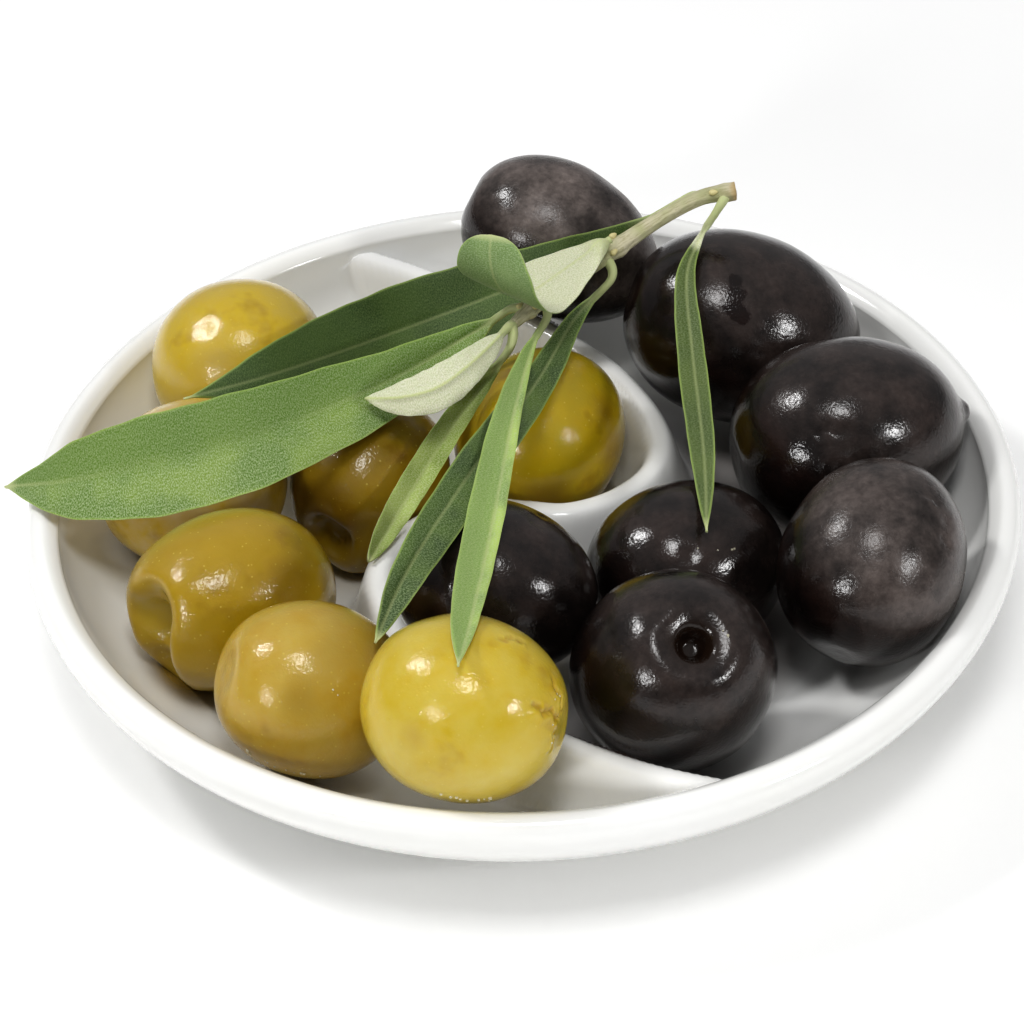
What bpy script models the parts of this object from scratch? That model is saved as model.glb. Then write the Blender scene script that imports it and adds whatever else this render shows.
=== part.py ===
# A round two-part serving dish with green olives, black olives and an olive sprig laid over them.
# The dish stands on Z = 0 with its middle on the Z axis. The view side is -Y. Sizes are in millimetres.
import math

import bmesh
import bpy
import numpy as np
from mathutils import Vector

MM = 0.001

# the dish
DISH_RADIUS = 65.0
DISH_HEIGHT = 21.0
FOOT_RADIUS = 34.0
FOOT_EDGE = 0.5
LIP_RADIUS = 2.2
FLOOR_HEIGHT = 4.4
FLOOR_RADIUS = 33.0
INNER_RIM_RADIUS = 60.8
INNER_RIM_HEIGHT = 19.6
OUTER_FULLNESS = 1.68
INNER_FULLNESS = 1.8
DISH_SIDES = 64

# the S-shaped ridge that parts the dish
RIDGE_HALF = ((-28.6, 60.2), (-22.5, 57.0), (-13.0, 52.3), (-3.0, 45.6), (6.0, 38.0), (12.6, 30.2),
              (16.8, 22.0), (18.8, 14.0), (17.6, 7.2), (12.6, 1.7), (6.0, -0.9))
RIDGE_HEIGHT = 16.8
RIDGE_END_RISE = 3.6
RIDGE_WIDTH = 3.6
RIDGE_POWER = 3.6
RIDGE_DIP = 1.0
RIDGE_BASE = 1.6

# olives: middle of the olive, half length and half width, heading and tilt of its long axis,
# how much narrower the far end is, and the marks at its two ends
GREEN = {
    "green_olive_1": dict(at=(-37.9, 27.6, 21.0), half=(12.3, 12.0), turn=173, tip=-5, egg=0.04,
                          near=(0.7, 3.0), far=(0.3, 2.0)),
    "green_olive_2": dict(at=(-43.6, 4.5, 19.0), half=(12.7, 11.2), turn=2, tip=14, egg=-0.05,
                          near=(0.4, 2.5), far=(0.6, 2.5)),
    "green_olive_3": dict(at=(-20.5, 8.8, 15.0), half=(12.0, 10.2), turn=-122, tip=-14, egg=0.06,
                          near=(4.2, 2.9), far=(0.4, 2.0)),
    "green_olive_4": dict(at=(3.0, 15.6, 16.3), half=(12.6, 11.3), turn=60, tip=7, egg=0.05,
                          near=(0.5, 2.2), far=(0.5, 2.2)),
    "green_olive_5": dict(at=(-38.1, -18.7, 18.1), half=(14.2, 11.5), turn=-152, tip=3, egg=0.05,
                          near=(5.4, 3.7), far=(0.4, 2.2)),
    "green_olive_6": dict(at=(-27.0, -38.4, 20.2), half=(12.2, 10.8), turn=-172, tip=26, egg=0.03,
                          near=(1.1, 3.2), far=(0.4, 2.0)),
    "green_olive_7": dict(at=(-7.9, -50.9, 27.4), half=(12.5, 11.3), turn=-21, tip=-1, egg=0.04,
                          near=(0.8, 2.6), far=(0.4, 2.2)),
}
BLACK = {
    "black_olive_1": dict(at=(7.0, 47.2, 25.8), half=(14.6, 10.7), turn=-18, tip=-24, egg=0.10,
                          near=(-0.6, 1.5), far=(0.5, 2.0)),
    "black_olive_2": dict(at=(31.2, 30.5, 21.8), half=(16.8, 13.1), turn=-2, tip=-20, egg=0.05,
                          near=(0.4, 2.2), far=(0.4, 2.2)),
    "black_olive_3": dict(at=(43.1, 5.3, 21.9), half=(15.6, 13.3), turn=11, tip=4, egg=0.06,
                          near=(-1.3, 1.6), far=(0.5, 2.4)),
    "black_olive_4": dict(at=(43.7, -21.4, 22.7), half=(13.5, 11.8), turn=64, tip=27, egg=0.05,
                          near=(0.5, 2.2), far=(0.4, 2.2)),
    "black_olive_5": dict(at=(20.7, -14.0, 16.2), half=(13.3, 11.4), turn=19, tip=6, egg=0.04,
                          near=(0.4, 2.2), far=(0.4, 2.2)),
    "black_olive_6": dict(at=(17.5, -38.8, 21.2), half=(13.6, 12.5), turn=-71, tip=56, egg=0.03,
                          near=(4.6, 2.2), far=(0.4, 2.2)),
    "black_olive_7": dict(at=(-3.8, -23.8, 23.0), half=(13.0, 11.0), turn=-15, tip=-14, egg=0.05,
                          near=(0.4, 2.2), far=(0.4, 2.2)),
}
OLIVE_SIDES = 20
OLIVE_RINGS = 10
OLIVE_FULLNESS = 2.06
OLIVE_UNEVEN = 0.012

# the sprig: its stem, then each leaf by its line, width and the way that its face looks
STEM_LINE = ((30.2, 32.2, 43.3), (25.6, 33.1, 41.8), (20.1, 32.0, 39.4), (14.5, 28.7, 37.6),
             (10.3, 25.2, 36.6), (6.1, 21.9, 35.6), (2.0, 19.0, 34.6), (-0.5, 16.5, 33.9))
STEM_RADII = (1.25, 1.05, 1.0, 1.2, 0.95, 0.85, 1.0, 0.65)
STEM_SIDES = 8
STEM_STEPS = 22
LEAF_THICKNESS = 0.55
PETIOLE = 0.55
LEAF_STEPS = 15
LEAF_ACROSS = 5
LEAVES = {
    "leaf_1": dict(line=((-1.2, 19.2, 34.3), (-6.2, 18.5, 31.1), (-18.7, 9.7, 29.5), (-38.0, -2.0, 29.8),
                         (-56.2, -3.6, 26.8), (-67.9, 2.6, 21.1)),
                   width=6.8, fullest=0.64, taper=1.0, face=(-80, 50), fold=0.12),
    "leaf_2": dict(line=((23.4, 36.0, 39.6), (13.5, 36.2, 33.2), (0.2, 34.5, 27.5), (-17.8, 27.8, 24.9),
                         (-32.8, 11.7, 30.9), (-43.7, 6.7, 31.4)),
                   width=6.0, fullest=0.56, taper=1.34, face=(-75, 48), fold=0.12),
    "leaf_4": dict(line=((27.6, 30.6, 41.2), (25.1, 29.6, 37.2), (23.0, 23.4, 35.4), (23.1, 13.3, 30.4),
                         (23.3, -5.6, 28.8), (22.8, -20.6, 28.0)),
                   width=1.9, fullest=0.66, taper=0.8, face=(-95, 42), fold=0.18),
    "leaf_5": dict(line=((-1.6, 14.4, 34.5), (-3.0, 11.9, 34.6), (-6.7, 7.1, 34.2), (-10.7, 4.5, 33.0),
                         (-15.3, 4.8, 31.5), (-20.0, 6.7, 30.2)),
                   width=2.9, fullest=0.6, taper=0.8, face=(-80, 50), fold=-0.12),
    "leaf_6": dict(line=((-1.6, 13.0, 31.6), (-4.7, 12.0, 27.9), (-9.0, 7.8, 24.5), (-13.6, 0.6, 21.6),
                         (-17.2, -5.2, 19.1), (-20.2, -11.2, 17.4)),
                   width=2.0, fullest=0.6, taper=0.5, face=(-60, 45), fold=0.35),
    "leaf_7": dict(line=((12.6, 24.4, 34.4), (8.1, 22.2, 30.4), (2.6, 8.2, 30.4), (-6.0, -16.7, 35.9),
                         (-13.8, -32.4, 34.1), (-18.5, -40.9, 29.5)),
                   width=2.8, fullest=0.62, taper=0.75, face=(-80, 48), fold=0.2),
    "leaf_8": dict(line=((4.0, 17.6, 33.6), (1.3, 10.5, 33.4), (-1.8, -6.1, 35.4), (-4.9, -27.5, 36.5),
                         (-7.4, -47.6, 39.1), (-8.3, -57.5, 40.2)),
                   width=2.3, fullest=0.6, taper=0.89, face=(-85, 45), fold=0.2),
}
# the leaf that has rolled over: where it starts, its heading, the way it looks, and its roll
CURLED = dict(start=(13.1, 27.2, 39.7), along=(-0.762, -0.630, -0.151), face=(-0.029, -0.199, 0.980),
              length=28.1, width=6.3, fullest=0.70, taper=0.38, roll_at=12.6, skew=75.2,
              roll_radius=5.9, roll_turn=157.0, swing=-0.05)


def clear_scene():
    for obj in list(bpy.data.objects):
        bpy.data.objects.remove(obj, do_unlink=True)
    for mesh in list(bpy.data.meshes):
        bpy.data.meshes.remove(mesh)


def material(name, colour, roughness):
    # one plain Principled material for each piece
    mat = bpy.data.materials.new(name)
    mat.use_nodes = True
    shader = mat.node_tree.nodes["Principled BSDF"]
    shader.inputs["Base Color"].default_value = (*colour, 1.0)
    shader.inputs["Roughness"].default_value = roughness
    mat.diffuse_color = (*colour, 1.0)
    return mat


def add_object(name, points, faces, colour, roughness):
    # points in millimetres and triangles, as one closed body that faces out
    mesh = bpy.data.meshes.new(name)
    mesh.from_pydata([tuple(float(c) * MM for c in p) for p in points], [], faces)
    work = bmesh.new()
    work.from_mesh(mesh)
    bmesh.ops.triangulate(work, faces=work.faces[:])
    bmesh.ops.recalc_face_normals(work, faces=work.faces[:])
    if work.calc_volume(signed=True) < 0.0:
        bmesh.ops.reverse_faces(work, faces=work.faces[:])
    work.to_mesh(mesh)
    work.free()
    obj = bpy.data.objects.new(name, mesh)
    bpy.context.scene.collection.objects.link(obj)
    mesh.materials.append(material(name, colour, roughness))
    return obj


def smooth_line(points, count):
    # Catmull-Rom curve through the points, read at even steps of its parameter
    pts = np.asarray(points, dtype=float)
    ends = np.vstack([2.0 * pts[0] - pts[1], pts, 2.0 * pts[-1] - pts[-2]])
    s = np.linspace(0.0, len(pts) - 1.0, count)
    i = np.minimum(s.astype(int), len(pts) - 2)
    t = (s - i)[:, None]
    a, b, c, d = ends[i], ends[i + 1], ends[i + 2], ends[i + 3]
    even = 2.0 * b + (c - a) * t
    bend = (2.0 * a - 5.0 * b + 4.0 * c - d) * t ** 2
    turn = (3.0 * b - a - 3.0 * c + d) * t ** 3
    return 0.5 * (even + bend + turn)


def unit(v):
    v = np.asarray(v, dtype=float)
    return v / np.linalg.norm(v, axis=-1, keepdims=True)


def heading(turn, tip):
    # unit vector from a heading round Z and a tilt above the level, in degrees
    turn = math.radians(turn)
    tip = math.radians(tip)
    return np.array([math.cos(turn) * math.cos(tip), math.sin(turn) * math.cos(tip), math.sin(tip)])


def bowl_curve(radius_0, radius_1, low, high, fullness, count):
    # quarter of a super-ellipse from a level floor up to a steep wall
    t = np.linspace(0.0, math.pi / 2.0, count)
    power = 2.0 / fullness
    r = radius_0 + (radius_1 - radius_0) * np.sin(t) ** power
    z = low + (high - low) * (1.0 - np.maximum(np.cos(t), 0.0) ** power)
    return list(zip(r, z))


def revolve(name, profile, sides, colour, roughness):
    # profile runs from the axis back to the axis; its first and last points lie on it
    points = [(0.0, 0.0, profile[0][1])]
    faces = []
    for r, z in profile[1:-1]:
        for k in range(sides):
            a = 2.0 * math.pi * k / sides
            points.append((r * math.cos(a), r * math.sin(a), z))
    points.append((0.0, 0.0, profile[-1][1]))
    rings = len(profile) - 2
    last = len(points) - 1
    for k in range(sides):
        n = (k + 1) % sides
        faces.append((0, 1 + n, 1 + k))
        faces.append((last, last - sides + k, last - sides + n))
        for j in range(rings - 1):
            a = 1 + j * sides
            b = a + sides
            faces.append((a + k, a + n, b + n))
            faces.append((a + k, b + n, b + k))
    return add_object(name, points, faces, colour, roughness)


def dish_bowl():
    widest = DISH_HEIGHT - LIP_RADIUS
    outer = bowl_curve(FOOT_RADIUS, DISH_RADIUS, FOOT_EDGE, widest, OUTER_FULLNESS, 10)
    lip = []
    for k in range(1, 5):
        a = math.pi / 2.0 * k / 4.0
        lip.append((DISH_RADIUS - LIP_RADIUS * (1.0 - math.cos(a)), widest + LIP_RADIUS * math.sin(a)))
    lip.append((INNER_RIM_RADIUS + 0.7, DISH_HEIGHT - 0.45))
    inner = bowl_curve(FLOOR_RADIUS, INNER_RIM_RADIUS, FLOOR_HEIGHT, INNER_RIM_HEIGHT, INNER_FULLNESS, 9)
    profile = [(0.0, 0.0), (FOOT_RADIUS - 1.0, 0.0)] + outer + lip + inner[::-1]
    profile += [(18.0, FLOOR_HEIGHT), (0.0, FLOOR_HEIGHT)]
    return revolve("dish", profile, DISH_SIDES, (0.86, 0.86, 0.84), 0.12)


def ridge_limit():
    # a turned plug that ends inside the dish's wall, so that the ridge can't show outside
    middle = bowl_curve(FLOOR_RADIUS + 2.0, INNER_RIM_RADIUS + 2.0, FLOOR_HEIGHT - 2.6,
                        INNER_RIM_HEIGHT - 0.8, 1.74, 9)
    profile = [(0.0, 1.0), (24.0, 1.0)] + middle + [(INNER_RIM_RADIUS + 2.0, 26.0), (0.0, 26.0)]
    plug = revolve("ridge_limit", profile, 48, (0.8, 0.8, 0.8), 0.5)
    plug.hide_render = True
    plug.display_type = "WIRE"
    return plug


def ridge_line(count):
    half = list(RIDGE_HALF)
    other = [(-x, -y) for x, y in reversed(half)]
    return smooth_line(half + [(0.0, 0.0)] + other, count)


def dish_ridge():
    # bell-shaped section carried along the S line, higher where it runs into the rim
    count = 47
    line = ridge_line(count)
    along = unit(np.gradient(line, axis=0))
    side = np.stack([-along[:, 1], along[:, 0]], axis=1)
    offsets = (-7.4, -5.2, -3.6, -2.2, -0.9, 0.9, 2.2, 3.6, 5.2, 7.4)
    points = []
    faces = []
    for k in range(count):
        u = abs(2.0 * k / (count - 1) - 1.0)
        rise = min(max((u - 0.55) / 0.45, 0.0), 1.0) ** 2
        top = RIDGE_HEIGHT + RIDGE_END_RISE * rise
        low = FLOOR_HEIGHT - RIDGE_DIP
        ring = [(offsets[0], RIDGE_BASE)]
        for off in offsets:
            bell = 1.0 / (1.0 + (abs(off) / RIDGE_WIDTH) ** RIDGE_POWER)
            ring.append((off, low + (top - low) * bell))
        ring.append((offsets[-1], RIDGE_BASE))
        for off, z in ring:
            p = line[k] + side[k] * off
            points.append((p[0], p[1], z))
    n = len(offsets) + 2
    for k in range(count - 1):
        for j in range(n):
            a = k * n + j
            b = k * n + (j + 1) % n
            faces.append((a, b, b + n))
            faces.append((a, b + n, a + n))
    faces.append(tuple(range(n)))
    faces.append(tuple(range((count - 1) * n, count * n)))
    ridge = add_object("ridge_shape", points, faces, (0.8, 0.8, 0.8), 0.5)
    ridge.hide_render = True
    ridge.display_type = "WIRE"
    return ridge


def join_by(target, other, operation):
    mod = target.modifiers.new(operation.lower(), "BOOLEAN")
    mod.operation = operation
    mod.solver = "EXACT"
    mod.object = other


def make_dish():
    bowl = dish_bowl()
    ridge = dish_ridge()
    join_by(ridge, ridge_limit(), "INTERSECT")
    join_by(bowl, ridge, "UNION")
    return bowl


def end_mark(r, mark):
    # a pit hole or dimple at an olive's end, or a small point where its depth is negative
    depth, radius = mark
    return depth / (1.0 + (r / radius) ** 4)


def make_olive(name, spec, index, colour, roughness):
    length, width = spec["half"]
    phi = list(np.linspace(0.0, math.pi, OLIVE_RINGS + 1))
    if spec["near"][0] > 2.0:
        small = [0.55, 0.85, 1.15]
        phi = [0.0] + [s * spec["near"][1] / width for s in small] + [p for p in phi if p > 0.42]
    axis = heading(spec["turn"], spec["tip"])
    level = unit(np.cross((0.0, 0.0, 1.0), axis))
    third = np.cross(axis, level)
    middle = np.array(spec["at"])
    power = 2.0 / OLIVE_FULLNESS
    points = []
    for p in phi:
        cosine = math.cos(p)
        sine = max(math.sin(p), 0.0)
        r = width * sine ** power * (1.0 - spec["egg"] * cosine)
        x = length * math.copysign(abs(cosine) ** power, cosine)
        x -= end_mark(r, spec["near"]) if cosine > 0.0 else -end_mark(r, spec["far"])
        if p in (phi[0], phi[-1]):
            points.append(middle + axis * x)
            continue
        for k in range(OLIVE_SIDES):
            a = 2.0 * math.pi * k / OLIVE_SIDES
            wave = math.sin(2.0 * a + 1.7 * index) + 0.6 * cosine * math.sin(3.0 * a + 2.3 * index)
            rr = r * (1.0 + OLIVE_UNEVEN * sine ** 2 * wave)
            points.append(middle + axis * x + level * rr * math.cos(a) + third * rr * math.sin(a))
    faces = []
    last = len(points) - 1
    rings = len(phi) - 2
    for k in range(OLIVE_SIDES):
        n = (k + 1) % OLIVE_SIDES
        faces.append((0, 1 + k, 1 + n))
        faces.append((last, last - OLIVE_SIDES + n, last - OLIVE_SIDES + k))
        for j in range(rings - 1):
            a = 1 + j * OLIVE_SIDES
            b = a + OLIVE_SIDES
            faces.append((a + k, b + k, b + n))
            faces.append((a + k, b + n, a + n))
    return add_object(name, points, faces, colour, roughness)


def half_width(u, width, fullest, taper):
    # narrow leaf stalk, fullest part way along, then a pointed tip
    power = math.log(0.5) / math.log(fullest)
    blade = width * np.maximum(np.sin(math.pi * u ** power), 0.0) ** taper
    stalk = PETIOLE * np.clip((0.22 - u) / 0.12, 0.0, 1.0)
    return np.maximum(np.maximum(blade, stalk), 0.18)


def sheet_solid(name, upper, lower, colour, roughness):
    # two grids of points, one for each face, closed round the edge
    rows, cols = upper.shape[:2]
    points = np.vstack([upper.reshape(-1, 3), lower.reshape(-1, 3)])
    off = rows * cols
    faces = []
    for i in range(rows - 1):
        for j in range(cols - 1):
            a = i * cols + j
            b = a + cols
            faces += [(a, a + 1, b + 1), (a, b + 1, b)]
            faces += [(off + a, off + b + 1, off + a + 1), (off + a, off + b, off + b + 1)]
    edge = [j for j in range(cols)]
    edge += [i * cols + cols - 1 for i in range(1, rows)]
    edge += [(rows - 1) * cols + j for j in range(cols - 2, -1, -1)]
    edge += [i * cols for i in range(rows - 2, 0, -1)]
    for k, a in enumerate(edge):
        b = edge[(k + 1) % len(edge)]
        faces += [(a, off + a, off + b), (a, off + b, b)]
    return add_object(name, points, faces, colour, roughness)


def make_leaf(name, spec, index):
    u = np.linspace(0.0, 1.0, LEAF_STEPS)
    v = np.linspace(-1.0, 1.0, LEAF_ACROSS)
    line = smooth_line(spec["line"], LEAF_STEPS)
    along = unit(np.gradient(line, axis=0))
    look = heading(*spec["face"])
    up = unit(look - (along @ look)[:, None] * along)
    across = np.cross(along, up)
    half = half_width(u, spec["width"], spec["fullest"], spec["taper"])
    dish = spec["fold"] * half[:, None] * (np.abs(v)[None, :] ** 1.3 - 0.5)
    wave = 0.05 * half[:, None] * np.sin(9.0 * u[:, None] + 1.9 * index) * v[None, :]
    mid = line[:, None] + across[:, None] * (half[:, None] * v[None, :])[:, :, None]
    mid = mid + up[:, None] * (dish + wave)[:, :, None]
    step = up[:, None] * (LEAF_THICKNESS / 2.0)
    return sheet_solid(name, mid + step, mid - step, (0.14, 0.24, 0.06), 0.6)


def make_curled_leaf(name, spec):
    # a flat leaf rolled over a slanting line, so that its far part shows its other face
    u = np.linspace(0.0, 1.0, 23)
    v = np.linspace(-1.0, 1.0, 7)
    half = half_width(u, spec["width"], spec["fullest"], spec["taper"])
    x = (u * spec["length"])[:, None] + 0.0 * v[None, :]
    y = half[:, None] * v[None, :]
    skew = math.radians(spec["skew"])
    fold = np.array([math.cos(skew), -math.sin(skew)])
    past = np.array([math.sin(skew), math.cos(skew)])
    dx = x - spec["roll_at"]
    along_fold = dx * fold[0] + y * fold[1]
    beyond = dx * past[0] + y * past[1]
    along_fold = along_fold - spec["swing"] * np.maximum(beyond, 0.0)
    radius = spec["roll_radius"]
    turn = math.radians(spec["roll_turn"])
    angle = np.clip(beyond / radius, 0.0, turn)
    rest = np.maximum(beyond - radius * turn, 0.0)
    flat = np.minimum(beyond, 0.0) + radius * np.sin(angle) + rest * np.cos(angle)
    lift = radius * (1.0 - np.cos(angle)) + rest * np.sin(angle)
    along = unit(spec["along"])
    face = unit(np.array(spec["face"]) - np.dot(spec["face"], along) * along)
    side = np.cross(face, along)
    fold_dir = fold[0] * along + fold[1] * side
    past_dir = past[0] * along + past[1] * side
    start = np.array(spec["start"]) + spec["roll_at"] * along
    mid = start + along_fold[:, :, None] * fold_dir + flat[:, :, None] * past_dir + lift[:, :, None] * face
    out = past_dir * -np.sin(angle)[:, :, None] + face * np.cos(angle)[:, :, None]
    step = out * (LEAF_THICKNESS / 2.0)
    return sheet_solid(name, mid + step, mid - step, (0.3, 0.4, 0.2), 0.6)


def make_stem():
    line = smooth_line(STEM_LINE, STEM_STEPS)
    radii = smooth_line([(r,) for r in STEM_RADII], STEM_STEPS)[:, 0]
    along = unit(np.gradient(line, axis=0))
    side = unit(np.cross(along, (0.0, 0.0, 1.0)))
    up = np.cross(side, along)
    points = []
    faces = []
    n = STEM_SIDES
    for k in range(STEM_STEPS):
        for j in range(n):
            a = 2.0 * math.pi * j / n
            points.append(line[k] + radii[k] * (side[k] * math.cos(a) + up[k] * math.sin(a)))
    for k in range(STEM_STEPS - 1):
        for j in range(n):
            a = k * n + j
            b = k * n + (j + 1) % n
            faces.append((a, b, b + n))
            faces.append((a, b + n, a + n))
    faces.append(tuple(range(n)))
    faces.append(tuple(range((STEM_STEPS - 1) * n, STEM_STEPS * n)))
    return add_object("stem", points, faces, (0.33, 0.33, 0.2), 0.6)


def main():
    clear_scene()
    make_dish()
    for index, (name, spec) in enumerate(GREEN.items()):
        make_olive(name, spec, index, (0.36, 0.3, 0.03), 0.25)
    for index, (name, spec) in enumerate(BLACK.items()):
        make_olive(name, spec, index + 7, (0.02, 0.012, 0.014), 0.25)
    make_stem()
    for index, (name, spec) in enumerate(LEAVES.items()):
        make_leaf(name, spec, index)
    make_curled_leaf("leaf_3", CURLED)


main()
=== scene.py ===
# Green and black olives in a parted porcelain dish, with an olive sprig laid over them.
# Sizes are in millimetres and turned to metres where a mesh is made. The view side is -Y.
import math

import bpy
import numpy as np
from mathutils import Matrix, Vector


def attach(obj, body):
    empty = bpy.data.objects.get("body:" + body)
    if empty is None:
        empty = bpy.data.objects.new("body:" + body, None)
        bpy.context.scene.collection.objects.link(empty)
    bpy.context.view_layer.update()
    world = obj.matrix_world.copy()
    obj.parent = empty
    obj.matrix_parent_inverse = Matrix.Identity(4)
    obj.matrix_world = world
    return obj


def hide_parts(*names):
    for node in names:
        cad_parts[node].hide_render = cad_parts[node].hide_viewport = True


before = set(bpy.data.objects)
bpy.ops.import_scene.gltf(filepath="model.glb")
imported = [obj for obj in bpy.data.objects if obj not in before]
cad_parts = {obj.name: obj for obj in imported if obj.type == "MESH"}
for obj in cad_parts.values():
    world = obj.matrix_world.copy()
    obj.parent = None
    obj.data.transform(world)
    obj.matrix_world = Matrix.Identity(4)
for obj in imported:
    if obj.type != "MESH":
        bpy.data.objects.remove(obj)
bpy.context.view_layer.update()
mm = 0.001
print("frame loaded:", len(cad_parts), "nodes")


def toLinear(hexColour):
    # each sRGB channel c: c / 12.92 up to 0.04045, above it ((c + 0.055) / 1.055) to the power 2.4
    channels = [int(hexColour[i:i + 2], 16) / 255.0 for i in (1, 3, 5)]
    return [c / 12.92 if c <= 0.04045 else ((c + 0.055) / 1.055) ** 2.4 for c in channels] + [1.0]


def plug(tree, node, sockets):
    # each socket gets its value, or a link where it is given as (node, output)
    for name, value in sockets.items():
        if isinstance(value, tuple) and isinstance(value[0], bpy.types.Node):
            tree.links.new(value[0].outputs[value[1]], node.inputs[name])
        else:
            node.inputs[name].default_value = value


def addNode(tree, kind, sockets=None, stops=None, **settings):
    # adds one node with its settings, its sockets and the stops of its colour ramp
    node = tree.nodes.new("ShaderNode" + kind)
    for name, value in settings.items():
        setattr(node, name, value)
    plug(tree, node, sockets or {})
    for i, (position, value) in enumerate(stops or []):
        stop = node.color_ramp.elements[i] if i < 2 else node.color_ramp.elements.new(position)
        stop.position = position
        stop.color = toLinear(value) if isinstance(value, str) else (value, value, value, 1.0)
    return node


def startMaterial(name):
    # an empty node tree with a Principled shader wired to the output
    material = bpy.data.materials.new(name)
    material.use_nodes = True
    tree = material.node_tree
    tree.nodes.clear()
    shader = addNode(tree, "BsdfPrincipled")
    addNode(tree, "OutputMaterial", {"Surface": (shader, "BSDF")})
    return material, tree, shader


def addObject(name, data):
    # a new object, linked into the scene
    thing = bpy.data.objects.new(name, data)
    bpy.context.scene.collection.objects.link(thing)
    return thing


def unit(v):
    v = np.asarray(v, dtype=float)
    return v / np.maximum(np.linalg.norm(v, axis=-1, keepdims=True), 1e-9)


def heading(turn, tip):
    # unit vector at an angle round Z and a tilt above the level, in degrees
    turn, tip = math.radians(turn), math.radians(tip)
    return np.array([math.cos(turn) * math.cos(tip), math.sin(turn) * math.cos(tip), math.sin(tip)])


def fade(x, start, end):
    # 0 at start, 1 at end, and 3t^2 - 2t^3 between them
    t = np.clip((x - start) / (end - start), 0.0, 1.0)
    return t * t * (3.0 - 2.0 * t)


def smoothLine(points, count):
    # Catmull-Rom curve through the points, read at even steps of its parameter
    pts = np.asarray(points, dtype=float)
    ends = np.vstack([2.0 * pts[0] - pts[1], pts, 2.0 * pts[-1] - pts[-2]])
    s = np.linspace(0.0, len(pts) - 1.0, count)
    i = np.minimum(s.astype(int), len(pts) - 2)
    t = (s - i)[:, None]
    a, b, c, d = ends[i], ends[i + 1], ends[i + 2], ends[i + 3]
    bend = (2.0 * a - 5.0 * b + 4.0 * c - d) * t ** 2
    turn = (3.0 * b - a - 3.0 * c + d) * t ** 3
    return 0.5 * (2.0 * b + (c - a) * t + bend + turn)


def runAlong(line):
    # the distance along a line up to each of its points
    return np.concatenate([[0.0], np.cumsum(np.linalg.norm(np.diff(line, axis=0), axis=1))])


def ripple(points, size, seed):
    # sum of six sine waves of about that length in random directions, between about -1 and 1
    rng = np.random.default_rng(seed)
    total = np.zeros(points.shape[:-1])
    for _ in range(6):
        direction = unit(rng.normal(size=3)) * rng.uniform(0.7, 1.5)
        total += np.sin(points @ direction * (2.0 * math.pi / size) + rng.uniform(0.0, 6.28))
    return total / 3.0


def putMesh(name, points, faces, material, layers=None, uv=None, nodes=()):
    # points in mm and rows of corners become one closed mesh, turned outwards where its volume,
    # the sum of p0 . (p1 x p2) / 6 over its triangles, is negative
    volume = 0.0
    for rows in faces:
        for k in range(1, rows.shape[1] - 1):
            a, b, c = points[rows[:, 0]], points[rows[:, k]], points[rows[:, k + 1]]
            volume += float(np.einsum("ij,ij->i", a, np.cross(b, c)).sum())
    faces = [rows[:, ::-1] if volume < 0.0 else rows for rows in faces]
    corners = np.concatenate([rows.ravel() for rows in faces]).astype(np.int32)
    sizes = np.concatenate([np.full(len(rows), rows.shape[1]) for rows in faces])
    mesh = bpy.data.meshes.new(name)
    mesh.vertices.add(len(points))
    mesh.vertices.foreach_set("co", (points * mm).astype(np.float32).ravel())
    mesh.loops.add(len(corners))
    mesh.loops.foreach_set("vertex_index", corners)
    mesh.polygons.add(len(sizes))
    mesh.polygons.foreach_set("loop_start", (np.cumsum(sizes) - sizes).astype(np.int32))
    mesh.update(calc_edges=True)
    mesh.validate()
    mesh.polygons.foreach_set("use_smooth", np.ones(len(sizes), dtype=bool))
    for layer, values in (layers or {}).items():
        data = mesh.attributes.new(layer, "FLOAT", "POINT").data
        data.foreach_set("value", np.asarray(values, dtype=np.float32).ravel())
    if uv is not None:
        layer = mesh.uv_layers.new(name="inMm")
        layer.data.foreach_set("uv", uv[corners].astype(np.float32).ravel())
    mesh.materials.append(material)
    piece = addObject(name, mesh)
    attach(piece, "root")
    if nodes:
        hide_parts(*nodes)
    print("made", name, len(points), "points")
    return piece


def ringFaces(rings, sides, first=0):
    # quads between rings of points that close on themselves
    i, j = np.meshgrid(np.arange(rings - 1), np.arange(sides), indexing="ij")
    k = (j + 1) % sides
    a, b = first + i * sides, first + (i + 1) * sides
    return np.stack([a + j, a + k, b + k, b + j], axis=-1).reshape(-1, 4)


def ballAngles(rings, sides):
    # the angle from the first pole down a column, and the angle round the axis along a row
    return (np.linspace(0.0, math.pi, rings + 2)[:, None],
            np.linspace(0.0, 2.0 * math.pi, sides, endpoint=False)[None])


def ballFaces(rings, sides):
    # a pole, rings of points and a second pole, in that order
    j = np.arange(sides)
    k = (j + 1) % sides
    last = rings * sides + 1
    start = np.stack([0 * j, 1 + k, 1 + j], axis=-1)
    end = np.stack([0 * j + last, last - sides + j, last - sides + k], axis=-1)
    return [start, ringFaces(rings, sides, 1), end]


def ballPoints(grid):
    # drops the repeated points of a grid's first and last rows, which are its poles
    return np.vstack([grid[:1, 0], grid[1:-1].reshape(-1, grid.shape[-1]), grid[-1:, 0]])


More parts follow.
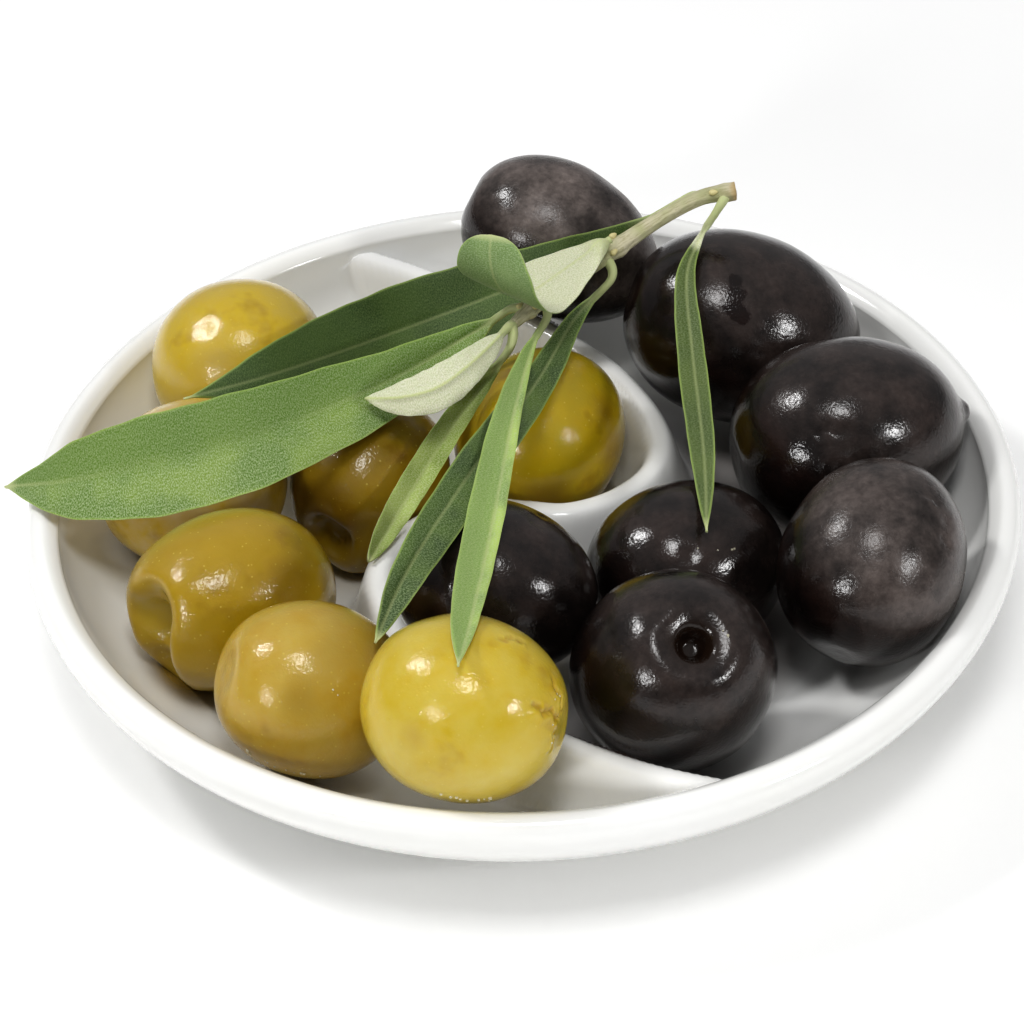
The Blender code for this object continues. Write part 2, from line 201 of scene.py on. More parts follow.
# the dish: white porcelain, turned in one piece with an S-shaped ridge that parts it
dish = {
    "radius": 65.0, "height": 21.0, "footRadius": 34.0, "footEdge": 0.5, "lipRadius": 2.2,
    "floorHeight": 4.4, "floorRadius": 33.0, "innerRimRadius": 60.8, "innerRimHeight": 19.6,
    "outerFullness": 1.68, "innerFullness": 1.8, "sides": 420, "blend": 1.6,
    "ridgeHalf": ((-28.6, 60.2), (-22.5, 57.0), (-13.0, 52.3), (-3.0, 45.6), (6.0, 38.0), (12.6, 30.2),
                  (16.8, 22.0), (18.8, 14.0), (17.6, 7.2), (12.6, 1.7), (6.0, -0.9)),
    "ridgeHeight": 16.8, "ridgeEndRise": 3.6, "ridgeWidth": 3.6, "ridgePower": 3.6, "ridgeDip": 1.0,
    "glaze": "#f0f0ec", "glazeLight": "#f3f3f1", "bareClay": "#d8d0c0", "roughness": 0.11, "ior": 1.52,
    "driftMm": 22.0, "flowMm": 9.0,
}


def bowlCurve(radius0, radius1, low, high, fullness, count):
    # r goes from radius0 to radius1 by sin(t)^(2/fullness), z from low to high by 1 - cos(t)^(2/fullness)
    t = np.linspace(0.0, math.pi / 2.0, count)
    power = 2.0 / fullness
    r = radius0 + (radius1 - radius0) * np.sin(t) ** power
    z = low + (high - low) * (1.0 - np.maximum(np.cos(t), 0.0) ** power)
    return np.stack([r, z], axis=1)


def nearestOnRidge(x, y, count):
    # the S line, for every place the number of its nearest point, and the way from there
    half = list(dish["ridgeHalf"])
    line = smoothLine(half + [(0.0, 0.0)] + [(-a, -b) for a, b in reversed(half)], count)
    flat = np.stack([x.ravel(), y.ravel()], axis=1)
    where = [((part[:, None] - line[None]) ** 2).sum(axis=2).argmin(axis=1)
             for part in np.array_split(flat, 1 + len(flat) // 8000)]
    where = np.concatenate(where)
    return line, where, flat - line[where]


def ridgeHeightAt(x, y):
    # bell section 1 / (1 + (d / width)^power) over the distance d to the S line
    line, where, away = nearestOnRidge(x, y, 700)
    nearest = np.sqrt((away ** 2).sum(axis=1))
    u = np.abs(2.0 * where / (len(line) - 1) - 1.0)
    top = dish["ridgeHeight"] + dish["ridgeEndRise"] * np.clip((u - 0.55) / 0.45, 0.0, 1.0) ** 2
    low = dish["floorHeight"] - dish["ridgeDip"]
    bell = 1.0 / (1.0 + (nearest / dish["ridgeWidth"]) ** dish["ridgePower"])
    return (low + (top - low) * bell).reshape(x.shape)


def blendedTop(a, b, reach):
    # the higher of two heights, with a fillet of that reach where they meet
    near = np.maximum(reach - np.abs(a - b), 0.0) / reach
    return np.maximum(a, b) + near ** 2 * reach / 4.0


def innerProfile(count):
    # the dish's inside from its middle out to the rim
    wall = bowlCurve(dish["floorRadius"], dish["innerRimRadius"], dish["floorHeight"],
                     dish["innerRimHeight"], dish["innerFullness"], count)
    floor = np.linspace(0.0, dish["floorRadius"], count // 2, endpoint=False)
    return np.vstack([np.stack([floor, np.full(len(floor), dish["floorHeight"])], axis=1), wall])


def insideHeight(x, y):
    # height of the bowl and its ridge at any place inside the rim
    profile = innerProfile(200)
    bowl = np.interp(np.hypot(x, y), profile[:, 0], profile[:, 1])
    ridge = ridgeHeightAt(x, y) - 30.0 * fade(np.hypot(x, y), 61.0, 62.8)  # it ends under the lip
    return blendedTop(bowl, ridge, dish["blend"])


def porcelainGlaze():
    # feldspar porcelain, cast and glossy glazed: a hard white mirror that floats very slightly, and a
    # dull cream ring of bare clay where the foot was wiped to stand in the kiln
    material, tree, shader = startMaterial("porcelainGlaze")
    place = addNode(tree, "TexCoord")
    axes = addNode(tree, "SeparateXYZ", {"Vector": (place, "Object")})
    wiped = addNode(tree, "MapRange", {"Value": (axes, "Z"), "From Min": 0.0006, "From Max": 0.0002})
    drift, flow = (
        addNode(tree, "TexNoise", {"Vector": (place, "Object"), "Scale": 1000.0 / dish[size],
                                   "Detail": detail})
        for size, detail in (("driftMm", 2.0), ("flowMm", 1.0)))
    tint = addNode(tree, "ValToRGB", {"Fac": (drift, "Fac")},
                   [(0.3, dish["glaze"]), (0.7, dish["glazeLight"])])
    body = addNode(tree, "Mix", {0: (wiped, "Result"), 6: (tint, "Color"),
                                 7: toLinear(dish["bareClay"])}, data_type="RGBA")
    dull = addNode(tree, "MapRange", {"Value": (wiped, "Result"), "To Min": dish["roughness"],
                                      "To Max": 0.7})
    flowBump = addNode(tree, "Bump", {"Height": (flow, "Fac"), "Strength": 0.5, "Distance": 0.00012})
    plug(tree, shader, {"Base Color": (body, 2), "Roughness": (dull, "Result"), "IOR": dish["ior"],
                        "Normal": (flowBump, "Normal")})
    return material


def makeDish():
    # one profile turned round Z, from the middle of the underside over the lip to the middle of the floor
    widest = dish["height"] - dish["lipRadius"]
    outer = bowlCurve(dish["footRadius"], dish["radius"], dish["footEdge"], widest,
                      dish["outerFullness"], 46)
    a = np.linspace(0.0, math.pi / 2.0, 9)[1:]
    lip = np.stack([dish["radius"] - dish["lipRadius"] * (1.0 - np.cos(a)),
                    widest + dish["lipRadius"] * np.sin(a)], axis=1)
    across = np.linspace(0.0, 1.0, 7)[1:-1]
    fall = dish["height"] - (dish["height"] - dish["innerRimHeight"]) * across ** 1.6
    start = lip[-1, 0]
    roll = np.stack([start - (start - dish["innerRimRadius"]) * across, fall], axis=1)
    base = np.stack([np.linspace(0.0, dish["footRadius"] - 1.0, 12), np.zeros(12)], axis=1)
    foot = np.array([(33.5, 0.1), (33.85, 0.28)])
    inner = innerProfile(90)[::-1]
    profile = np.vstack([base, foot, outer, lip, roll, inner])
    angle = np.linspace(0.0, 2.0 * math.pi, dish["sides"], endpoint=False)
    r, z = profile[:, :1], profile[:, 1:]
    x, y = r * np.cos(angle), r * np.sin(angle)
    z = z + 0.0 * x
    inside = len(profile) - len(inner)
    ridge = ridgeHeightAt(x[inside:], y[inside:]) - 30.0 * fade(r[inside:], 60.2, 61.2)
    z[inside:] = blendedTop(z[inside:], ridge, dish["blend"])
    grid = np.stack([x, y, z], axis=-1)
    return putMesh("porcelainDish", ballPoints(grid), ballFaces(len(profile) - 2, dish["sides"]),
                   porcelainGlaze(), nodes=("dish",))


# the olives: place, half length and half width, heading and tilt of the long axis, how much narrower
# the far end is, the marks at both ends (depth, radius), then what is seen on each one's skin.
# dents are (turn, tip, radius, depth), patches (turn, tip, radius), cracks (turn, tip) from, to, depth,
# and hollows (turn, tip) from, to, radius, depth, power. A funnel (depth, radius) widens a pit hole,
# flesh is the colour in it, bloom how much wax lies on the skin, and satin the roughness under it
greenOlives = {
    "green_olive_1": dict(
        at=(-37.9, 27.6, 21.0), half=(12.3, 12.0), turn=173, tip=-5, egg=0.04, near=(0.7, 3.0),
        far=(0.3, 2.0), skin="#c0a524", blotch="#bba34c", deep="#9a7b18",
        dents=((-125, 57, 1.6, 0.25), (-80, 10, 4.0, 0.35))),
    "green_olive_2": dict(
        at=(-43.6, 4.5, 19.0), half=(12.7, 11.2), turn=2, tip=14, egg=-0.05, near=(0.4, 2.5),
        far=(0.6, 2.5), skin="#c3a42a", blotch="#cdb888", deep="#94761a", dents=((-60, 30, 3.0, 0.2),)),
    "green_olive_3": dict(
        at=(-20.5, 8.8, 15.0), half=(12.0, 10.2), turn=-122, tip=-14, egg=0.06, near=(4.2, 2.9),
        far=(0.4, 2.0), skin="#8e7312", blotch="#9a7e1a", deep="#67450f", flesh="#8f7316",
        dents=((-92, -4, 2.6, 0.8), (-128, 12, 2.2, 0.5), (-105, -42, 4.5, -1.6)),
        patches=((-120, 6, 4.2),)),
    "green_olive_4": dict(
        at=(3.0, 15.6, 16.3), half=(12.6, 11.3), turn=60, tip=7, egg=0.05, near=(0.5, 2.2), far=(0.5, 2.2),
        skin="#b79b14", blotch="#aa951a", deep="#7a5614",
        # the first patch, low on the front, is a dark brown mark at its foot: partly brine, partly painted
        # shade
        patches=((-90, -7, 3.0), (-22, 33, 2.4), (-30, 8, 3.4))),
    "green_olive_5": dict(
        at=(-38.1, -18.7, 18.1), half=(14.2, 11.5), turn=-152, tip=3, egg=0.05, near=(5.4, 3.7),
        far=(0.4, 2.2), skin="#a08411", blotch="#a88b20", deep="#816414", flesh="#a58c22",
        dents=((-60, 20, 5.0, 0.3), (-124, 44, 2.4, -0.35)),
        hollows=(((-144, 20), (-142, -24), 3.5, 3.4, 4.0),), patches=((-33, 34, 3.4),)),
    "green_olive_6": dict(
        at=(-27.0, -38.4, 20.2), half=(12.2, 10.8), turn=-172, tip=26, egg=0.03, near=(1.1, 3.2),
        far=(0.4, 2.0), skin="#b3922b", blotch="#b9a04a", deep="#96761c", dents=((-94, 30, 4.0, 0.25),),
        patches=((-94, 36, 1.4),)),
    "green_olive_7": dict(
        at=(-7.9, -50.9, 27.4), half=(12.5, 11.3), turn=-21, tip=-1, egg=0.04, near=(0.8, 2.6),
        far=(0.4, 2.2), skin="#c3a824", blotch="#c9b654", deep="#a3811c",
        dents=((-124, 20, 2.4, 0.3), (-96, 0, 5.0, 0.3), (118, 49, 3.0, 0.3)),
        patches=((-124, 20, 1.2), (-102, 3, 0.5)),
        cracks=(((-41, 31), (-20, 7), 0.5), ((-24, 10), (-37, -4), 0.3), ((-11, 30), (-18, 8), 0.3),
                ((3, 68), (14, 50), 0.3))),
}
blackOlives = {
    "black_olive_1": dict(
        at=(7.0, 47.2, 25.8), half=(14.6, 10.7), turn=-18, tip=-24, egg=0.10, near=(-0.6, 1.5),
        far=(0.5, 2.0), bloom=1.0, satin=0.4, dents=((-160, 36, 2.0, 0.25), (-150, 60, 3.0, 0.2))),
    "black_olive_2": dict(
        at=(31.2, 30.5, 21.8), half=(16.8, 13.1), turn=-2, tip=-20, egg=0.05, near=(0.4, 2.2),
        far=(0.4, 2.2), bloom=0.2, satin=0.24, dents=((160, 10, 4.0, 0.6),),
        patches=((-104, 64, 0.9), (-100, 56, 1.2), (-102, 48, 1.4), (-95, 43, 1.2))),
    "black_olive_3": dict(
        at=(43.1, 5.3, 21.9), half=(15.6, 13.3), turn=11, tip=4, egg=0.06, near=(-1.3, 1.6), far=(0.5, 2.4),
        bloom=0.22, satin=0.24, dents=((-109, 37, 2.0, 0.3), (-95, 38, 1.5, 0.2)),
        cracks=(((-120, 37), (-94, 40), 0.25),)),
    "black_olive_4": dict(
        at=(43.7, -21.4, 22.7), half=(13.5, 11.8), turn=64, tip=27, egg=0.05, near=(0.5, 2.2),
        far=(0.4, 2.2), bloom=0.62, satin=0.34, dents=((-31, 36, 1.6, 0.2), (-14, 41, 1.2, 0.2)),
        cracks=(((2, 60), (-6, 50), 0.2), ((-31, 30), (-26, 38), 0.2))),
    "black_olive_5": dict(
        at=(20.7, -14.0, 16.2), half=(13.3, 11.4), turn=19, tip=6, egg=0.04, near=(0.4, 2.2),
        far=(0.4, 2.2), bloom=0.16, satin=0.16, dents=((-90, 50, 1.0, 0.3), (-60, 60, 3.0, 0.2))),
    "black_olive_6": dict(
        at=(17.5, -38.8, 21.2), half=(13.6, 12.5), turn=-71, tip=56, egg=0.03, near=(4.6, 2.2),
        far=(0.4, 2.2), funnel=(1.3, 4.0), bloom=0.22, satin=0.24,
        dents=((-127, 72, 1.4, 0.15), (-100, 62, 1.6, 0.15), (-50, 70, 2.0, 0.15))),
    "black_olive_7": dict(
        at=(-3.8, -23.8, 23.0), half=(13.0, 11.0), turn=-15, tip=-14, egg=0.05, near=(0.4, 2.2),
        far=(0.4, 2.2), bloom=0.16, satin=0.2, dents=((30, 50, 1.0, 0.2), (10, 60, 1.2, 0.2))),
}
oliveForm = {"rings": 112, "sides": 132, "fullness": 2.06, "uneven": 0.012, "lumps": 0.07, "lumpSize": 9.0}

crackForm = {"half": 0.28, "waver": 0.28, "bank": 0.45, "bankAt": 0.75, "bankHalf": 0.45, "scarHalf": 0.5}


def endMark(r, mark):
    # depth / (1 + (r / radius)^4): a pit hole or dimple, or a small point where the depth is negative
    depth, radius = mark
    return depth / (1.0 + (r / radius) ** 4)


def arcBetween(radial, turn, tip, size):
    # how far a point of the skin lies from a direction, along the skin
    return np.arccos(np.clip(radial @ heading(turn, tip), -1.0, 1.0)) * size


def crackDepth(radial, crack, size, seed):
    # a wavering groove between two directions: the profile exp(-(d / half)^2), less a raised bank at
    # its side, and the wider band exp(-(d / scarHalf)^2) that is scarred
    (turn0, tip0), (turn1, tip1), depth = crack
    start, end = heading(turn0, tip0), heading(turn1, tip1)
    along = unit(end - start)
    side = unit(np.cross(along, unit(start + end)))
    reach = float(np.dot(end - start, along)) * size
    s = ((radial - start) @ along) * size
    d = ((radial - start) @ side) * size
    d = d + crackForm["waver"] * np.sin(s * 2.6 + seed) + 0.15 * np.sin(s * 6.1)
    held = fade(s, -0.4, 0.6) * fade(s, reach + 0.4, reach - 0.6) * ((radial @ start) > 0.3)
    bank = crackForm["bank"] * np.exp(-((d - crackForm["bankAt"]) / crackForm["bankHalf"]) ** 2)
    groove = depth * (np.exp(-(d / crackForm["half"]) ** 2) - bank)
    return held * groove, held * np.exp(-(d / crackForm["scarHalf"]) ** 2)


def hollowDepth(radial, hollow, size):
    # depth exp(-(d / radius)^power), with d the distance to the line between two directions
    (turn0, tip0), (turn1, tip1), radius, depth, power = hollow
    start, end = heading(turn0, tip0), heading(turn1, tip1)
    step = end - start
    s = np.clip((radial - start) @ step / (step @ step), 0.0, 1.0)
    d = np.linalg.norm(radial - start - s[..., None] * step, axis=-1) * size
    return depth * np.exp(-(d / radius) ** power)


def makeOlive(name, spec, index, material):
    # width sin(p)^e (1 - egg cos p) round the long axis and length cos(p)^e along it, less its end marks,
    # then lumps, dents, hollows and cracks pushed in towards the middle
    length, width = spec["half"]
    axis = heading(spec["turn"], spec["tip"])
    level = unit(np.cross((0.0, 0.0, 1.0), axis))
    third = np.cross(axis, level)
    p, a = ballAngles(oliveForm["rings"], oliveForm["sides"])
    power = 2.0 / oliveForm["fullness"]
    cosine, sine = np.cos(p), np.maximum(np.sin(p), 0.0)
    r = width * sine ** power * (1.0 - spec["egg"] * cosine)
    x = length * np.sign(cosine) * np.abs(cosine) ** power
    hole = endMark(r, spec["near"])
    if "funnel" in spec:
        depth, radius = spec["funnel"]
        steep = spec["near"][0] - depth
        hole = depth / (1.0 + (r / radius) ** 6) + steep / (1.0 + (r / (0.8 * spec["near"][1])) ** 6)
    x = x - np.where(cosine > 0.0, hole, -endMark(r, spec["far"]))
    wave = np.sin(2.0 * a + 1.7 * index) + 0.6 * cosine * np.sin(3.0 * a + 2.3 * index)
    rr = (r * (1.0 + oliveForm["uneven"] * sine ** 2 * wave))[..., None]
    out = level * np.cos(a)[..., None] + third * np.sin(a)[..., None]
    local = axis * (x + 0.0 * a)[..., None] + rr * out
    radial = unit(local)
    push = oliveForm["lumps"] * ripple(local, oliveForm["lumpSize"], index) * sine ** 0.5
    for turn, tip, radius, depth in spec.get("dents", ()):
        push = push - depth * np.exp(-(arcBetween(radial, turn, tip, width) / radius) ** 2)
    for hollow in spec.get("hollows", ()):
        push = push - hollowDepth(radial, hollow, width)
    torn = np.zeros(push.shape)
    for k, crack in enumerate(spec.get("cracks", ())):
        groove, around = crackDepth(radial, crack, width, index + k)
        push = push - groove
        torn = np.maximum(torn, around)
    patch = np.full(push.shape, -9.0)
    for turn, tip, radius in spec.get("patches", ()):
        patch = np.maximum(patch, radius - arcBetween(radial, turn, tip, width))
    inHole = np.where(cosine > 0.0, fade(endMark(r, spec["near"]), 1.2, 3.4), 0.0) + 0.0 * a
    if "funnel" in spec:
        inHole = np.where(cosine > 0.0, fade(r, 4.2, 1.8), 0.0) + 0.0 * a
    grid = np.array(spec["at"]) + local + radial * push[..., None]
    # painted shade mask: 1 low down and toward -X, 0 high up and toward +X; on the black olives it takes the
    # grey bloom off those sides so they paint black as if in shade
    shadeBelowLeft = fade(radial[..., 2] + 0.7 * radial[..., 0], 0.45, -0.25)
    layers = {"patch": patch, "torn": torn, "inHole": inHole, "shadeBelowLeft": shadeBelowLeft}
    layers = {key: ballPoints(value[..., None])[:, 0] for key, value in layers.items()}
    putMesh(name.replace("_o", "O").replace("_", ""), ballPoints(grid),
            ballFaces(oliveForm["rings"], oliveForm["sides"]), material, layers, nodes=(name,))
    return radial.reshape(-1, 3), grid.reshape(-1, 3)


greenSkin = {"driftMm": 7.0, "fineMm": 1.6, "speckMm": 1.1, "grainMm": 0.42, "ior": 1.42,
             "softness": 0.0022, "brine": 0.05, "pore": "#d6c45c", "scar": "#b8912a", "flesh": "#8a7220"}


def greenOliveSkin(name, spec):
    # cured green olive, wet with brine: waxy flesh that light soaks into, blotched from yellow to brown,
    # freckled with pale pores, under a clear film whose highlights break up on the grain
    material, tree, shader = startMaterial(name)
    place = addNode(tree, "TexCoord")
    drift, fine, grain = (
        addNode(tree, "TexNoise", {"Vector": (place, "Object"), "Scale": 1000.0 / greenSkin[size],
                                   "Detail": detail, "Roughness": rough})
        for size, detail, rough in (("driftMm", 3.0, 0.55), ("fineMm", 4.0, 0.5), ("grainMm", 2.0, 0.5)))
    pores = addNode(tree, "TexVoronoi", {"Vector": (place, "Object"),
                                         "Scale": 1000.0 / greenSkin["speckMm"]})
    patch, torn, hole = (addNode(tree, "Attribute", attribute_name=key)
                         for key in ("patch", "torn", "inHole"))
    ragged = addNode(tree, "Math", {0: (drift, "Fac"), 1: 5.0, 2: (patch, "Fac")},
                     operation="MULTIPLY_ADD")
    shade, pore, bruiseAndShade, scar, wet = (
        addNode(tree, "MapRange", {"Value": source, "From Min": low, "From Max": high,
                                   "To Min": start, "To Max": end})
        for source, low, high, start, end in (
            ((fine, "Fac"), 0.35, 0.7, 0.0, 0.35),
            ((pores, "Distance"), 0.15, 0.06, 0.0, 0.45),
            ((ragged, "Value"), 1.2, 4.2, 0.0, 0.5),
            ((torn, "Fac"), 0.2, 1.0, 0.0, 0.6),
            ((fine, "Fac"), 0.3, 0.7, 0.3, 0.45)))
    blotch = addNode(tree, "ValToRGB", {"Fac": (drift, "Fac")},
                     [(0.2, spec["deep"]), (0.4, spec["skin"]), (0.72, spec["blotch"])])
    colour = (blotch, "Color")
    # the patches are painted as brown bruises; the one low on green_olive_4's front is partly painted shade
    # at its foot
    for factor, tint in (((shade, "Result"), spec["blotch"]), ((pore, "Result"), greenSkin["pore"]),
                         ((bruiseAndShade, "Result"), spec["deep"]), ((scar, "Result"), greenSkin["scar"]),
                         ((hole, "Fac"), spec.get("flesh", greenSkin["flesh"]))):
        colour = (addNode(tree, "Mix", {0: factor, 6: colour, 7: toLinear(tint)}, data_type="RGBA"), 2)
    skinBump = addNode(tree, "Bump", {"Height": (grain, "Fac"), "Strength": 0.4, "Distance": 0.00006})
    poreBump = addNode(tree, "Bump", {"Height": (pore, "Result"), "Strength": 0.4,
                                      "Distance": 0.00008, "Normal": (skinBump, "Normal")})
    beads = addNode(tree, "Bump", {"Height": (grain, "Fac"), "Strength": 0.9,
                                   "Distance": 0.000045, "Normal": (poreBump, "Normal")})
    plug(tree, shader, {
        "Base Color": colour, "Roughness": (wet, "Result"), "Normal": (poreBump, "Normal"),
        "IOR": greenSkin["ior"], "Specular IOR Level": 0.3, "Subsurface Weight": 0.35,
        "Subsurface Radius": (1.0, 0.62, 0.16), "Subsurface Scale": greenSkin["softness"],
        "Coat Weight": 1.0, "Coat Roughness": greenSkin["brine"], "Coat IOR": 1.38,
        "Coat Normal": (beads, "Normal")})
    return material


blackSkin = {"skin": "#0e0807", "warm": "#21120d", "bloomTint": "#7c726d", "hollow": "#20150e",
             "driftMm": 6.0, "fineMm": 0.9, "grainMm": 0.36, "ior": 1.42}


def blackOliveSkin(name, spec):
    # ripe black olive: nearly black skin, brown where it thins, with a grey waxy bloom that is wiped
    # away in ragged patches; the bloomed skin is satin, the bare skin wet and sharp. The bloom is also
    # painted out low down and toward -X as painted shade, and the grey kept on the tops is partly a painted
    # sheen
    material, tree, shader = startMaterial(name)
    place = addNode(tree, "TexCoord")
    drift, fine, grain = (
        addNode(tree, "TexNoise", {"Vector": (place, "Object"), "Scale": 1000.0 / blackSkin[size],
                                   "Detail": detail, "Roughness": rough})
        for size, detail, rough in (("driftMm", 4.0, 0.6), ("fineMm", 5.0, 0.65), ("grainMm", 3.0, 0.5)))
    patch, shadeBelowLeft, hole = (addNode(tree, "Attribute", attribute_name=key)
                           for key in ("patch", "shadeBelowLeft", "inHole"))
    tone = addNode(tree, "ValToRGB", {"Fac": (drift, "Fac")},
                   [(0.4, blackSkin["skin"]), (0.72, blackSkin["warm"])])
    ragged = addNode(tree, "Math", {0: (fine, "Fac"), 1: 2.0, 2: (patch, "Fac")},
                     operation="MULTIPLY_ADD")
    kept, cover, litAboveRight, mottled = (
        addNode(tree, "MapRange", {"Value": source, "From Min": low, "From Max": high,
                                   "To Min": start, "To Max": end})
        for source, low, high, start, end in (
            ((ragged, "Value"), 0.9, 1.15, 1.0, 0.0),
            ((drift, "Fac"), 0.3, 0.66, 0.15, 1.0),
            ((shadeBelowLeft, "Fac"), 0.0, 1.0, 1.0, 0.08),
            ((fine, "Fac"), 0.3, 0.75, 0.45 * spec["bloom"], spec["bloom"])))
    dusty = addNode(tree, "Math", {0: (kept, "Result"), 1: (cover, "Result")}, operation="MULTIPLY")
    # waxy is the bloom left by the wiping and by the painted shade below and toward -X
    waxy = addNode(tree, "Math", {0: (dusty, "Value"), 1: (litAboveRight, "Result")}, operation="MULTIPLY")
    bloom = addNode(tree, "Math", {0: (waxy, "Value"), 1: (mottled, "Result")}, operation="MULTIPLY")
    colour = (tone, "Color")
    for factor, tint in (((bloom, "Value"), blackSkin["bloomTint"]), ((hole, "Fac"), blackSkin["hollow"])):
        colour = (addNode(tree, "Mix", {0: factor, 6: colour, 7: toLinear(tint)}, data_type="RGBA"), 2)
    satin = addNode(tree, "MapRange", {"Value": (waxy, "Value"), "To Min": 0.1, "To Max": spec["satin"]})
    skinBump = addNode(tree, "Bump", {"Height": (grain, "Fac"), "Strength": 0.7, "Distance": 0.00005})
    wrinkle = addNode(tree, "Bump", {"Height": (drift, "Fac"), "Strength": 0.35,
                                     "Distance": 0.0004, "Normal": (skinBump, "Normal")})
    plug(tree, shader, {
        "Base Color": colour, "Roughness": (satin, "Result"), "Normal": (wrinkle, "Normal"),
        "IOR": blackSkin["ior"], "Coat Weight": 0.35 - 0.3 * spec["bloom"], "Coat Roughness": 0.1,
        "Coat IOR": 1.36, "Coat Normal": (wrinkle, "Normal")})
    return material


# the sprig: the stem's line and radii, then each leaf by its midrib, width and the way that it looks
stem = {
    "line": ((30.2, 32.2, 43.3), (25.6, 33.1, 41.8), (20.1, 32.0, 39.4), (14.5, 28.7, 37.6),
             (10.3, 25.2, 36.6), (6.1, 21.9, 35.6), (2.0, 19.0, 34.6), (-0.5, 16.5, 33.9)),
    "radii": (1.25, 1.05, 1.0, 1.2, 0.95, 0.85, 1.0, 0.65), "steps": 260, "sides": 40,
    "bark": "#c3bda0", "barkDark": "#958f68", "green": "#aeae84", "cut": "#b39a6c",
    "streakMm": 0.28, "zoneMm": 5.0,
    "joints": ((0.04, 0.12), (0.44, 0.3), (0.86, 0.25)), "jointReach": 0.022,
}
leafForm = {"steps": 150, "across": 33, "thickness": 0.5, "rim": 0.2, "petiole": 0.52, "petioleSteps": 14,
            "reachBack": 2.4, "scaleMm": 0.15, "veinMm": 1.6, "zoneMm": 9.0, "ribHalf": 0.38,
            "groove": 0.16, "ribDrop": 0.32, "stalk": "#b9c08c", "rib": "#b3bb86", "edge": "#a3b963",
            "felt": "#b9be94", "feltLight": "#dadbc4", "feltRib": "#bcc57f"}
leaves = {
    "leaf_1": dict(
        line=((-1.2, 19.2, 34.3), (-6.2, 18.5, 31.1), (-18.7, 9.7, 29.5), (-38.0, -2.0, 29.8),
              (-56.2, -3.6, 26.8), (-67.9, 2.6, 21.1)), width=6.8, fullest=0.64, taper=1.0, face=(-80, 50),
        fold=0.12, rib=0.05, blade="#738d2c", dark="#557519", fleck="#aebd92", shaded=0.85, ribTone=0.45),
    "leaf_2": dict(
        line=((23.4, 36.0, 39.6), (13.5, 36.2, 33.2), (0.2, 34.5, 27.5), (-17.8, 27.8, 24.9),
              (-32.8, 11.7, 30.9), (-43.7, 6.7, 31.4)), width=6.0, fullest=0.56, taper=1.34, face=(-75, 48),
        fold=0.12, rib=0.0, blade="#41591f", dark="#2f4715", fleck="#667a44", shaded=0.4, ribTone=0.22),
    "leaf_4": dict(
        line=((27.6, 30.6, 41.2), (25.1, 29.6, 37.2), (23.0, 23.4, 35.4), (23.1, 13.3, 30.4),
              (23.3, -5.6, 28.8), (22.8, -20.6, 28.0)), width=1.9, fullest=0.66, taper=0.8, face=(-95, 42),
        fold=0.18, rib=-0.1, paleTo=0.24, blade="#4f6022", dark="#405218", fleck="#75845c", shaded=0.0,
        ribTone=0.3),
    "leaf_5": dict(
        line=((-1.6, 14.4, 34.5), (-3.0, 11.9, 34.6), (-6.7, 7.1, 34.2), (-10.7, 4.5, 33.0),
              (-15.3, 4.8, 31.5), (-20.0, 6.7, 30.2)), width=2.9, fullest=0.6, taper=0.8, face=(-80, 50),
        fold=-0.12, rib=0.0, blade="#6f9a3f", dark="#4f7a2a", fleck="#a9c69a", shaded=0.0, ribTone=0.62,
        flipped=True),
    "leaf_6": dict(
        line=((-1.6, 13.0, 31.6), (-4.7, 12.0, 27.9), (-9.0, 7.8, 24.5), (-13.6, 0.6, 21.6),
              (-17.2, -5.2, 19.1), (-20.2, -11.2, 17.4)), width=2.0, fullest=0.6, taper=0.5, face=(-60, 45),
        fold=0.35, rib=-0.15, blade="#9cae58", dark="#84993f", fleck="#bdc795", shaded=0.0, ribTone=0.4),
    "leaf_7": dict(
        line=((12.6, 24.4, 34.4), (8.1, 22.2, 30.4), (2.6, 8.2, 30.4), (-6.0, -16.7, 35.9),
              (-13.8, -32.4, 34.1), (-18.5, -40.9, 29.5)), width=2.8, fullest=0.62, taper=0.75,
        face=(-80, 48), fold=0.2, rib=0.1, blade="#536c22", dark="#2c4512", fleck="#84966a", shaded=0.4,
        ribTone=0.28),
    "leaf_8": dict(
        line=((4.0, 17.6, 33.6), (1.3, 10.5, 33.4), (-1.8, -6.1, 35.4), (-4.9, -27.5, 36.5),
              (-7.4, -47.6, 39.1), (-8.3, -57.5, 40.2)), width=2.3, fullest=0.6, taper=0.89, face=(-85, 45),
        fold=0.2, rib=-0.45, blade="#aec663", dark="#7b964a", fleck="#b6c694", shaded=0.95, ribTone=0.45),
}
curled = dict(start=(13.1, 27.2, 39.7), along=(-0.762, -0.630, -0.151), face=(-0.029, -0.199, 0.980),
              length=28.1, width=6.3, fullest=0.70, taper=0.38, rollAt=12.6, skew=75.2,
              rollRadius=5.9, rollTurn=157.0, swing=-0.05, rib=0.0,
              blade="#7f985c", dark="#688347", fleck="#9dae82", shaded=0.0, ribTone=0.4)


def halfWidth(u, spec):
    # width sin(pi u^k)^taper, widest at fullest, and no narrower than the leaf's stalk
    power = math.log(0.5) / math.log(spec["fullest"])
    blade = spec["width"] * np.maximum(np.sin(math.pi * np.clip(u, 0.0, 1.0) ** power), 0.0) ** spec["taper"]
    stalk = leafForm["petiole"] * np.clip((0.22 - u) / 0.12, 0.0, 1.0)
    return np.maximum(np.maximum(blade, stalk), 0.16)


def acrossLeaf():
    # from -1 to 1 across the leaf by sin, closer together at both edges
    return np.sin(np.linspace(-1.0, 1.0, leafForm["across"]) * math.pi / 2.0)


